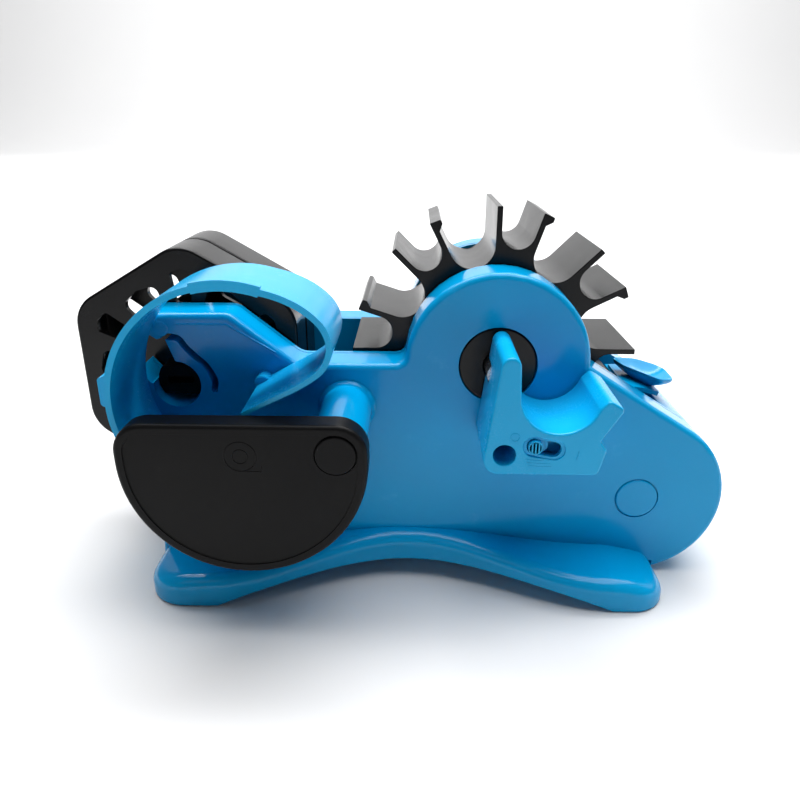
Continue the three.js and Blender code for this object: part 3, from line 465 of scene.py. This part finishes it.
def add_housing(node, near):
    y0, y1 = (0, SEAM) if near else (FAR_OUT - SEAM, FAR_OUT)
    face = y0 if near else y1
    out = -1 if near else 1
    ends = (y0 - THROUGH, y1 + THROUGH)

    def on_face(p):
        return abs(p.y - face) < 0.01

    body = prism(node + "_shell", housing_outline(), y0, y1)
    round_edges(body, HOUSING_EDGE, lambda p: on_face(p) and (p.z > DECK + 1 or p.x > NOSE.x + 8), 6)
    recess = sorted((face + THROUGH * out, face - (PLUG_T + GAP) * out))
    tools = [
        prism("seat", circle(REEL.x, REEL.z, SEAT_R), *ends),
        prism("entry", rounded([(x, z, 0.7) for x, z in about_reel(ENTRY)]), *ends),
        prism("snap", band(about_reel(SNAP_LINE), 2), *ends),
        prism("hub_room", circle(0, 0, HUB_R + GAP, 96), *ends),
        prism("plug_room", circle(NOSE.x, NOSE.z, PLUG_R + GAP), *recess),
    ]
    combine(body, tools)
    round_edges(body, 0.35, on_face, 3, 60)
    stand_in(body, node)

    # A small round boss near the rear top corner, and a raised line along the upper edge.
    boss = turned(node + "_boss", -98.8, 10.6, [
        (r, face + proud * out)
        for r, proud in ((0, 0.3), (1.8, 0.3), (2.15, 0.18), (2.3, -0.1), (2.3, -0.6), (0, -0.6))
    ], 40)
    trim(boss, "blue", "housing")
    rib = stroke(node + "_rib", [(-94, 12.1), (-79.4, 12.1), (-65.6, 3.6)], face - 0.1 * out, 0.35)
    trim(rib, "blue", "housing")


# ---------------------------------------------------------------- base
WAIST_X = -26.1          # middle between the feet
WAIST_REACH = 61.1       # from there to each pair of feet
NEAR_WAIST = 4.4         # how far the base reaches out between the feet
FAR_WAIST = 2.4
TOP_EDGE = 4.0
TOP_WAVE = 2.8           # the arched top: half its height, and its mean above the deck
TOP_MEAN = 1.8
DROOP = 4.0              # how far the top falls past the front feet; less past the rear ones
REAR_DROOP_SHARE = 0.6
ARCH_X = -24.0           # the arch under the base: its middle, half its width and its height
ARCH_HALF = 60.0
ARCH_RISE = 6.4


def base_rise(x):
    """How far the base's top stands above the deck: it is arched, and droops at its ends."""
    t = (x - WAIST_X) / WAIST_REACH
    arched = TOP_WAVE * math.cos(math.pi * min(1.0, abs(t))) + TOP_MEAN
    past_foot = max(0.0, abs(t) - 1) * WAIST_REACH
    return arched - DROOP * (past_foot / 18) ** 1.5 * (1.0 if t > 0 else REAR_DROOP_SHARE)


def base_side(y_foot, y_waist):
    """One long side of the base, which draws in between its feet."""
    points = []
    for i in range(25):
        t = i / 12 - 1
        y = y_waist + (y_foot - y_waist) * (1 - math.cos(math.pi * abs(t))) / 2
        points.append((WAIST_X + t * WAIST_REACH, y))
    return points


def arch_top(body, bottom, top):
    """Bends the base's top outside the housings. Between them it stays flat, below the rollers."""
    shape = bmesh.new()
    shape.from_mesh(body.data)
    hidden = (0.5, 1.5, FAR_OUT - 1.5, FAR_OUT - 0.5)
    cuts = [(spot(x, 0, 0), (1, 0, 0)) for x in range(-104, 52, 4)]
    cuts += [(spot(0, y, 0), (0, 1, 0)) for y in hidden]
    for place, normal in cuts:
        parts = shape.verts[:] + shape.edges[:] + shape.faces[:]
        bmesh.ops.bisect_plane(shape, geom=parts, plane_co=place, plane_no=normal, dist=1e-6)
    for vertex in shape.verts:
        x, y, z = drawn(vertex.co)
        if 1 < y < FAR_OUT - 1:
            continue
        share = min(1.0, (z - bottom) / (top - bottom) / 0.55)
        vertex.co.z += base_rise(x) * share * MM
    shape.to_mesh(body.data)
    shape.free()


def add_base():
    lo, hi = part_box("base")
    y_near, y_far = drawn(lo).y, drawn(hi).y
    bottom, top = drawn(lo).z, drawn(hi).z
    outline = rounded([
        (REAR_X, y_near, 13), *base_side(y_near, -NEAR_WAIST), (BASE_END_X, y_near, 11),
        (BASE_END_X, y_far, 8), *base_side(y_far, FAR_OUT + FAR_WAIST)[::-1], (REAR_X, y_far, 8),
    ], 6)
    shape = bmesh.new()
    face = shape.faces.new([shape.verts.new(spot(x, y, bottom)) for x, y in outline])
    made = bmesh.ops.extrude_face_region(shape, geom=[face])
    moved = [v for v in made["geom"] if isinstance(v, bmesh.types.BMVert)]
    bmesh.ops.translate(shape, vec=Vector((0, 0, top - bottom)) * MM, verts=moved)
    body = from_bmesh("base_moulding", shape)
    round_edges(body, TOP_EDGE, lambda p: abs(p.z - top) < 0.01, 7)
    arch_top(body, bottom, top)
    steps = [i / 16 - 1 for i in range(33)]
    arch = [(ARCH_X + ARCH_HALF * t, bottom + ARCH_RISE * (1 - t ** 4)) for t in steps]
    room = [(ARCH_X - ARCH_HALF, bottom - 3), *arch, (ARCH_X + ARCH_HALF, bottom - 3)]
    combine(body, [prism("arch", room, y_near - 5, y_far + 5)])
    round_edges(body, 0.5, lambda p: p.z < bottom + ARCH_RISE + 0.2, 3, 50)
    stand_in(body, "base")


# ---------------------------------------------------------------- wheel and hubs
TIP_R = 44.0
ARM_PAIRS = 8
PAIR_ANGLE = 18.3        # degrees between the two arms of a pair
ARM_HALF = 0.85          # half the thickness of an arm
SMALL_VALLEY_R = 32.0    # floor of the valley inside a pair
LARGE_VALLEY_R = 26.6    # floor of the valley between pairs
LIP = 1.7                # catch on the second arm of a pair
AXLE_ROOM_R = 4.3


def wheel_outline():
    def polar(a, r, side=0.0):
        c, n = math.cos(math.radians(a)), math.sin(math.radians(a))
        return (c * r + n * side, n * r - c * side)

    def valley(start, end, floor):
        half = (start - end) / 2
        mid = (start + end) / 2
        width = math.sin(math.radians(half))
        c = (floor - ARM_HALF) / (1 - width)
        x, z = polar(mid, c)
        return arc(x, z, c * width - ARM_HALF, mid + half + 90, mid - half + 270, 7)

    points = []
    pitch = 360 / ARM_PAIRS
    for i in range(ARM_PAIRS):
        plain = 90 - i * pitch
        caught = plain - PAIR_ANGLE
        points += [polar(plain, TIP_R, -ARM_HALF), polar(plain, TIP_R, ARM_HALF)]
        points += valley(plain, caught, SMALL_VALLEY_R)
        points += [polar(caught, TIP_R, -ARM_HALF), polar(caught, TIP_R - 0.4, ARM_HALF + LIP),
                   polar(caught, TIP_R - 1.8, ARM_HALF + LIP), polar(caught, TIP_R - 3.4, ARM_HALF)]
        points += valley(caught, plain - pitch, LARGE_VALLEY_R)
    return points


def add_wheel():
    lo, hi = drawn(wheel_lo), drawn(wheel_hi)
    body = prism("arm_wheel_moulding", wheel_outline(), lo.y, hi.y)
    combine(body, [prism("bore", circle(0, 0, AXLE_ROOM_R), lo.y - 1, hi.y + 1)])
    round_edges(body, 0.3, everywhere, 3, 50)
    stand_in(body, "arm_wheel")
    front, flange, back, flange_r = 0.2, SEAM + GAP, lo.y - GAP, 14.5
    hub = turned("near_hub_disc", 0, 0, [
        (AXLE_ROOM_R, front + 0.5), (AXLE_ROOM_R + 0.3, front), (HUB_R - 0.5, front),
        (HUB_R - 0.15, front + 0.15), (HUB_R, front + 0.5), (HUB_R, flange), (flange_r, flange),
        (flange_r, back), (AXLE_ROOM_R, back), (AXLE_ROOM_R, front + 0.5),
    ], 96)
    stand_in(hub, "near_hub")


# ---------------------------------------------------------------- crank
def crank_outline():
    return rounded([
        (25.4, -22.4, 1.6), (-6.4, -22.4, 4.2), *arc(0.4, 8.3, 2.6, 174, 0, 8),
        *arc(14.1, 0.5, 10.7, 182, 342, 4), (26.6, -0.6, 1.3), (30.9, -3.2, 1.3), (25.2, -12.4, 0.8),
        (27.2, -15, 1.2),
    ])


LOCK_X = 7.9             # lock slider at rest
LOCK_Z = -14.0
LOCK_TILT = -10.6        # degrees, direction of its slot
LOCK_TRAVEL = 5.0


def lock_slot(r, reach=0.0):
    """A slot with round ends, r wide on each side and longer than the travel by reach at each end."""
    c, n = math.cos(math.radians(LOCK_TILT)), math.sin(math.radians(LOCK_TILT))
    far = LOCK_TRAVEL + reach
    a = (LOCK_X - c * reach, LOCK_Z - n * reach)
    b = (LOCK_X + c * far, LOCK_Z + n * far)
    return arc(*a, r, LOCK_TILT + 270, LOCK_TILT + 90, 12) + arc(*b, r, LOCK_TILT + 90, LOCK_TILT - 90, 12)


def slider_rib(x, y_front):
    low, high = LOCK_Z - 1.4, LOCK_Z + 1.4
    outline = [(x - 0.2, low), (x + 0.2, low), (x + 0.2, high), (x - 0.2, high)]
    return prism("rib", outline, y_front - 1.0, y_front - 0.5)


def add_crank():
    lo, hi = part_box("crank_handle")
    y0, y1 = drawn(lo).y, drawn(hi).y
    body = prism("crank_moulding", crank_outline(), y0, y1)
    round_edges(body, 0.7, everywhere, 4, 50)
    tools = [
        prism("hole", circle(-0.2, -16.6, 3.1, 48), y0 - 1, y1 + 1),
        prism("dish", lock_slot(2.9, 0.3), y0 - 1, y0 + 0.5),
        prism("slot", lock_slot(2.25), y0 - 1, y0 + 3),
        prism("rail", lock_slot(3.05, 1.4), y0 + 2.2, y1 + 1),
        prism("axle_room", circle(0, 0, AXLE_ROOM_R, 48), y1 - 8.5, y1 + 1),
    ]
    combine(body, tools)
    round_edges(body, 0.25, lambda p: abs(p.y - y0) < 0.01, 3, 60)
    stand_in(body, "crank_handle")

    # A ring and a bar mark the slider's two ends, with fine grip lines under its slot.
    trim(stroke("off_ring", circle(2.4, -11.2, 1.15, 32), y0, 0.16, True), "light_blue", "wheel")
    trim(stroke("on_bar", [(19.6, -15.2), (19.2, -17.6)], y0, 0.18), "light_blue", "wheel")
    for k in range(3):
        z = -17.6 - 0.9 * k
        path = [(5.4 + 0.4 * k + 1.6 * i, z - 0.28 * i + 0.05 * i * i) for i in range(5)]
        trim(stroke(f"grip_line_{k + 1}", path, y0 + 0.02, 0.1), "light_blue", "wheel")
    cap = turned("slider_cap", LOCK_X, LOCK_Z, [
        (0, y0 - 0.7), (1.6, y0 - 0.7), (1.9, y0 - 0.4), (1.9, y0 + 1.5), (0, y0 + 1.5),
    ], 36)
    ribs = [slider_rib(LOCK_X + dx, y0) for dx in (-0.9, 0, 0.9)]
    combine(cap, ribs, "UNION")
    trim(cap, "light_blue", "lock")


# ---------------------------------------------------------------- reels
REEL_APOTHEM = 34.6
REEL_CORNER = 11
REEL_RIM = 2
REEL_WEB = 2.2
REEL_HUB_R = 13.5


def hexagon(apothem, fillet):
    corner = apothem / math.cos(math.radians(30))
    return rounded([
        (REEL.x + corner * math.cos(math.radians(90 - 60 * i)),
         REEL.z + corner * math.sin(math.radians(90 - 60 * i)), fillet) for i in range(6)
    ], 6)


def reel_window(a, half, r0, r1, soft):
    """An opening between two radii, half degrees wide on each side of a, with corners rounded by soft."""
    def at(angle, r):
        t = math.radians(angle)
        return (REEL.x + r * math.cos(t), REEL.z + r * math.sin(t), soft)
    left, right = a - half, a + half
    return rounded([at(left, r0), at(left, r1), at(a, r1 + 0.9), at(right, r1), at(right, r0)], 20)


def add_reel(node):
    lo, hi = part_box(node)
    y0, y1 = drawn(lo).y, drawn(hi).y
    body = prism(node + "_drum", hexagon(REEL_APOTHEM, REEL_CORNER), y0, y1)
    round_edges(body, 0.9, everywhere, 4, 50)
    hollow = hexagon(REEL_APOTHEM - REEL_RIM, REEL_CORNER - REEL_RIM)
    inside = prism("inside", hollow, y0 + REEL_WEB, y1 + THROUGH)
    combine(inside, [prism("hub", circle(REEL.x, REEL.z, REEL_HUB_R), y0, y1 - 0.4)])
    tools = [inside, prism("room", circle(REEL.x, REEL.z, 6.7), y0 - THROUGH, y1 + THROUGH)]
    for i in range(6):
        wide = reel_window(60 * i, 13, 20.5, 28, 2.4)
        narrow = reel_window(60 * i + 30, 6.5, 21.5, 31, 1.4)
        tools.append(prism("window", wide, y0 - THROUGH, y0 + 4))
        tools.append(prism("slot", narrow, y0 - THROUGH, y0 + 4))
    combine(body, tools)
    round_edges(body, 0.3, lambda p: p.y < y0 + 0.02, 3, 60)
    stand_in(body, node)


# ---------------------------------------------------------------- strap, cover and post
STRAP = Vector((-73.2, -3.0))
STRAP_R = 33.0
STRAP_T = 1.7

# Outer line of the strap's free end, from its round part over the top, in and back down to its tip.
STRAP_END = [(-64.7, 28.9), (-58.2, 27.0), (-52.2, 23.9), (-47.3, 19.2), (-45.5, 13.4), (-47.5, 7.3),
             (-53.2, 2.8), (-61.4, -1.4), (-70.0, -5.6)]
STRAP_THINNING = 0.45    # share of its thickness that the strap loses towards its tip


def strap_ring(start, end, outer=0.0, inner=0.0):
    """Part of the strap's round band, grown outwards and inwards by those amounts."""
    return (arc(*STRAP, STRAP_R + outer, start, end, 3)
            + arc(*STRAP, STRAP_R - STRAP_T - inner, end, start, 3))


def strap_outline():
    path = smooth_line(STRAP_END, 6)
    inner = []
    for i, here in enumerate(path):
        along = (path[min(i + 1, len(path) - 1)] - path[max(i - 1, 0)]).normalized()
        thin = STRAP_T * (1 - STRAP_THINNING * (i / (len(path) - 1)) ** 3)
        inner.append(tuple(here + Vector((along.y, -along.x)) * thin))
    outer = arc(*STRAP, STRAP_R, 225, 78, 3) + [tuple(point) for point in path]
    return outer + inner[::-1] + arc(*STRAP, STRAP_R - STRAP_T, 78, 225, 3)


def add_strap():
    lo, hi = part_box("roll_strap")
    y0, y1 = drawn(lo).y, drawn(hi).y
    body = prism("strap_moulding", strap_outline(), y0, y1)
    wall = prism("wall", strap_ring(223, 318), y0, y1)
    root_line = arc(*STRAP, STRAP_R - 0.8, 223, 318, 4) + [(-60, -24), (-86, -20)]
    root = prism("root", root_line, -2.1, -GAP)
    bead = prism("bead", strap_ring(103, 72, 0.7, 0.4), y0, y0 + 2)
    lug_line = rounded([(-105.6, -4), (-108.2, -4, 1), (-108.2, 4, 1), (-105.2, 5)])
    lug = prism("lug", lug_line, y0 + 2, y0 + 7)
    button = turned("button", -69, -4.4, [(0, -5), (2.1, -5), (2.4, -4.7), (2.4, -GAP), (0, -GAP)], 36)
    combine(body, [wall, root, bead, lug, button], "UNION")
    round_edges(body, 0.3, everywhere, 3, 50)
    stand_in(body, "roll_strap")


COVER = Vector((-69.7, -16.2))
COVER_R = 33.3
COVER_TOP = -5.0
COVER_CORNER = 8.4
COVER_DISH = 0.35        # depth of the cover's sunk face
POST = middle("cover_pin")


def cover_outline(less=0.0):
    """The cover from the front, moved inwards by less."""
    r = COVER_R - less
    corner = COVER_CORNER - less
    top = COVER_TOP - less
    bowl = arc(*COVER, r, 180, 360, 3)
    return rounded([*bowl, (COVER.x + r, top, corner), (COVER.x - r, top, corner)], 6)


def add_roll_mark(y):
    """A plain pictogram of a roll of tape, in raised lines on the cover."""
    x, z, radius, line = COVER.x, COVER_TOP - 9, 4.2, 0.16
    for k, r in enumerate((radius, 2.0)):
        trim(stroke(f"roll_mark_{k + 1}", circle(x, z, r, 48), y, line, True), "satin_black", "cover")
    low = z - radius
    tail = stroke("roll_mark_tail", [(x, low), (x + 5.4, low), (x + 5.4, z - 2.6)], y, line)
    trim(tail, "satin_black", "cover")


def add_cover():
    lo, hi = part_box("half_moon_cover")
    y0, y1 = drawn(lo).y, drawn(hi).y
    body = prism("cover_moulding", cover_outline(), y0, y1)
    round_edges(body, 1.3, lambda p: abs(p.y - y0) < 0.01, 5)
    round_edges(body, 0.4, lambda p: abs(p.y - y1) < 0.01, 2)
    shell = prism("shell", cover_outline(1.8), y0 + 1.8, y1 + 2)
    combine(shell, [prism("boss", circle(POST.x, POST.z, 6.8), y0, y1)])
    tools = [
        prism("face", cover_outline(2.6), y0 - 1, y0 + COVER_DISH),
        shell,
        prism("bore", circle(POST.x, POST.z, 5.7), y0 - 1, y0 + 1.6),
        prism("pin_room", circle(POST.x, POST.z, 2.7, 36), y0 - 1, y1 + 1),
    ]
    combine(body, tools)
    round_edges(body, 0.25, lambda p: p.y < y0 + 0.5, 3, 50)
    stand_in(body, "half_moon_cover")
    add_roll_mark(y0 + COVER_DISH)
    pin = turned("cover_pin_cap", POST.x, POST.z, [
        (0, y0 - 0.2), (4.9, y0 - 0.2), (5.25, y0 - 0.05), (5.4, y0 + 0.25), (5.4, y0 + 1.3), (2.4, y0 + 1.3),
        (2.4, -14.5), (0, -14.5),
    ])
    stand_in(pin, "cover_pin")
    y = drawn(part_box("cover_post")[0]).y
    post = turned("post", POST.x, POST.z, [
        (2.7, y), (7.2, y), (7.5, y + 0.15), (7.6, y + 0.5), (7.6, -2), (7.8, -1.1), (8.3, -0.5), (8.6, -GAP),
        (2.7, -GAP), (2.7, y),
    ])
    stand_in(post, "cover_post")


# ---------------------------------------------------------------- nose, plugs and lever
def add_nose():
    lo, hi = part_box("nose_cover")
    y0, y1 = drawn(lo).y, drawn(hi).y
    start, end, wall = 70, -62, 2
    outline = arc(NOSE.x, NOSE.z, NOSE_R, start, end) + arc(NOSE.x, NOSE.z, NOSE_R - wall, end, start)
    body = prism("nose_moulding", outline, y0, y1)
    round_edges(body, 0.5, everywhere, 3, 50)
    stand_in(body, "nose_cover")
    for node, face, out in (("near_plug", 0, -1), ("far_plug", FAR_OUT, 1)):
        front, back = face + PLUG_PROUD * out, face - PLUG_T * out
        disc = turned(node + "_disc", NOSE.x, NOSE.z, [
            (0, front), (PLUG_R - 0.6, front), (PLUG_R - 0.2, face + 0.22 * out),
            (PLUG_R, face - 0.1 * out), (PLUG_R, back), (0, back),
        ])
        stand_in(disc, node)


BLADE_ANGLE = math.radians(-28.5)
BLADE_EDGE = TIP_R + 0.6
BLADE_SEAT = -0.6        # the ledge's top below the middle of the blade
LEVER_CLEAR = 1.1        # the lever's root above the nose

# The finger tab's rim from above, as (x, y, radius) corners, and the middle of its scoop.
TAB_CORNERS = [(44.2, 39.2, 1.6), (52.0, 39.8, 7), (61.0, 34.5, 6), (60.4, 21.5, 5), (54.6, 18.4, 2),
               (46, 31, 3)]
TAB_CENTRE = Vector((53.0, 29.5))
TAB_RISE = 4.2           # rim above the middle
TAB_LIFT = 3.0           # middle above the nose
TAB_DROOP = 0.7          # how closely the tab follows the round of the nose
TAB_T = 1.5
TAB_LIP = 0.07           # share of the tab that its rounded lip takes


def about_nose(r, a):
    """The point at radius r from the nose's centre, in the direction a degrees."""
    return (NOSE.x + r * math.cos(math.radians(a)), NOSE.z + r * math.sin(math.radians(a)))


def along_blade(r, n):
    """The point at radius r from the wheel axis along the blade, n above its middle."""
    c, w = math.cos(BLADE_ANGLE), math.sin(BLADE_ANGLE)
    return (r * c - n * w, r * w + n * c)


def tab_point(edge, share, lift):
    """A point above the nose, that share of the way from the tab's centre to a point of its rim."""
    plan = TAB_CENTRE.lerp(Vector(edge), share)
    ground = NOSE.z + math.sqrt((NOSE_R + TAB_LIFT) ** 2 - (TAB_DROOP * (plan.x - NOSE.x)) ** 2)
    return spot(plan.x, plan.y, ground + TAB_RISE * share ** 2 + lift)


def add_tab():
    """The scooped finger tab: rings from the middle of its top, round its lip and back underneath."""
    rim = rounded(TAB_CORNERS, 9)
    top = [(0.12 * i, 0.0) for i in range(1, 8)]
    turns = [math.radians(90 - 30 * k) for k in range(7)]
    lip = [(1 - TAB_LIP + TAB_LIP * math.cos(a), -TAB_T / 2 + TAB_T / 2 * math.sin(a)) for a in turns]
    profile = top + lip + [(share, -TAB_T) for share, _ in reversed(top)]
    shape = bmesh.new()
    rings = [[shape.verts.new(tab_point(edge, share, lift)) for edge in rim] for share, lift in profile]
    ends = [shape.verts.new(tab_point(rim[0], 0.0, lift)) for lift in (0.0, -TAB_T)]
    for k in range(len(rim)):
        n = (k + 1) % len(rim)
        for low, high in zip(rings, rings[1:]):
            shape.faces.new((low[k], low[n], high[n], high[k]))
        shape.faces.new((ends[0], rings[0][n], rings[0][k]))
        shape.faces.new((ends[1], rings[-1][k], rings[-1][n]))
    trim(from_bmesh("finger_tab", shape), "blue", "lever")


def add_lever():
    lo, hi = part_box("blade_lever")
    y0, y1 = drawn(lo).y, drawn(hi).y
    under = NOSE_R + LEVER_CLEAR
    seat_end = along_blade(BLADE_EDGE + 6, BLADE_SEAT)
    seat_foot = along_blade(BLADE_EDGE + 1.4, -2.4)
    web = [about_nose(3, 28), about_nose(under + 0.5, 87), about_nose(under + 0.5, 93), seat_end, seat_foot,
           about_nose(3, 150)]
    ledge = [along_blade(BLADE_EDGE + 1.2, BLADE_SEAT), seat_end, along_blade(BLADE_EDGE + 7.5, -5),
             seat_foot]
    root = arc(NOSE.x, NOSE.z, under, 92, 70) + arc(NOSE.x, NOSE.z, under + 1.5, 70, 92)
    body = prism("lever_moulding", circle(NOSE.x, NOSE.z, 4.1, 48), y0, y1)
    combine(body, [prism("web", web, y0, y1), prism("ledge", ledge, y0 + 0.01, y1 - 0.01),
                   prism("root", root, y0 + 4, y1 - 3)], "UNION")
    combine(body, [prism("pin_room", circle(NOSE.x, NOSE.z, 2.1, 36), y0 - 1, y1 + 1)])
    round_edges(body, 0.3, everywhere, 2, 50)
    stand_in(body, "blade_lever")


add_housing("near_housing", True)
add_housing("far_housing", False)
add_base()
add_wheel()
add_crank()
add_reel("front_reel")
add_reel("rear_reel")
add_strap()
add_cover()
add_nose()
add_lever()
add_tab()


# ---------------------------------------------------------------- floor, light and camera
def add_floor():
    """A floor, in metres, that curves up into a backdrop far behind the dispenser."""
    front, reach, half_width, bend, height = -4.0, 3.0, 8.0, 1.2, 5.0
    turns = [math.radians(6 * i) for i in range(1, 16)]
    profile = [(front, 0.0), (reach, 0.0)]
    profile += [(reach + bend * math.sin(a), bend - bend * math.cos(a)) for a in turns]
    profile.append((reach + bend, height))
    shape = bmesh.new()
    lines = [[shape.verts.new((x, y, z)) for y, z in profile] for x in (-half_width, half_width)]
    for i in range(len(profile) - 1):
        shape.faces.new((lines[0][i], lines[1][i], lines[1][i + 1], lines[0][i + 1]))
    floor = from_bmesh("floor", shape)
    for polygon in floor.data.polygons:
        polygon.use_smooth = True
    material = bpy.data.materials.new("pale_floor")
    material.use_nodes = True
    tree = material.node_tree
    shader = tree.nodes["Principled BSDF"]
    coords = add_node(tree, "ShaderNodeTexCoord").outputs["Object"]
    tone = blend_colours(tree, noise(tree, coords, 3.0), (0.79, 0.79, 0.795), (0.81, 0.81, 0.81))
    tree.links.new(tone, shader.inputs["Base Color"])
    shader.inputs["Roughness"].default_value = 0.8
    shader.inputs["Specular IOR Level"].default_value = 0.1
    floor.data.materials.append(material)


def add_light(name, place, size, power, target=(0, 0, 0.05)):
    """A rectangular light, in metres and watts, that faces the target."""
    light = bpy.data.lights.new(name, "AREA")
    light.shape = "RECTANGLE"
    light.size, light.size_y = size
    light.energy = power
    obj = bpy.data.objects.new(name, light)
    obj.location = place
    obj.rotation_euler = (Vector(target) - Vector(place)).to_track_quat("-Z", "Y").to_euler()
    bpy.context.collection.objects.link(obj)


def add_world():
    world = bpy.data.worlds.new("studio")
    bpy.context.scene.world = world
    world.use_nodes = True
    background = world.node_tree.nodes["Background"]
    background.inputs["Color"].default_value = (0.97, 0.98, 1.0, 1)
    background.inputs["Strength"].default_value = 0.1


def add_camera():
    """The photo's camera: its place, its tilt and its lens."""
    pitch, yaw = math.radians(21.8), math.radians(1.3)
    data = bpy.data.cameras.new("camera")
    data.lens = 31.7
    data.sensor_width = 36
    data.clip_start, data.clip_end = 0.01, 20
    camera = bpy.data.objects.new("camera", data)
    forward = Vector((-math.sin(yaw) * math.cos(pitch), math.cos(yaw) * math.cos(pitch), -math.sin(pitch)))
    right = Vector((math.cos(yaw), math.sin(yaw), 0))
    up = right.cross(forward)
    turn = Matrix((right, up, -forward)).transposed().to_4x4()
    camera.matrix_world = Matrix.Translation(spot(-24.4, -196.7, 67.6)) @ turn
    bpy.context.collection.objects.link(camera)
    bpy.context.scene.camera = camera


add_floor()
add_world()
add_light("top_soft", (0.05, 0.1, 1.0), (1.2, 0.9), 14.5)
add_light("front_soft", (-0.5, -0.9, 0.8), (0.5, 0.4), 0.3)
add_light("side_soft", (0.9, 0.2, 0.5), (0.4, 0.6), 1.0)
add_light("backdrop_wash", (0.0, 1.2, 2.6), (3.4, 1.4), 165.0, (0.0, 3.4, 0.3))
add_camera()
bpy.context.scene.view_settings.view_transform = "Standard"
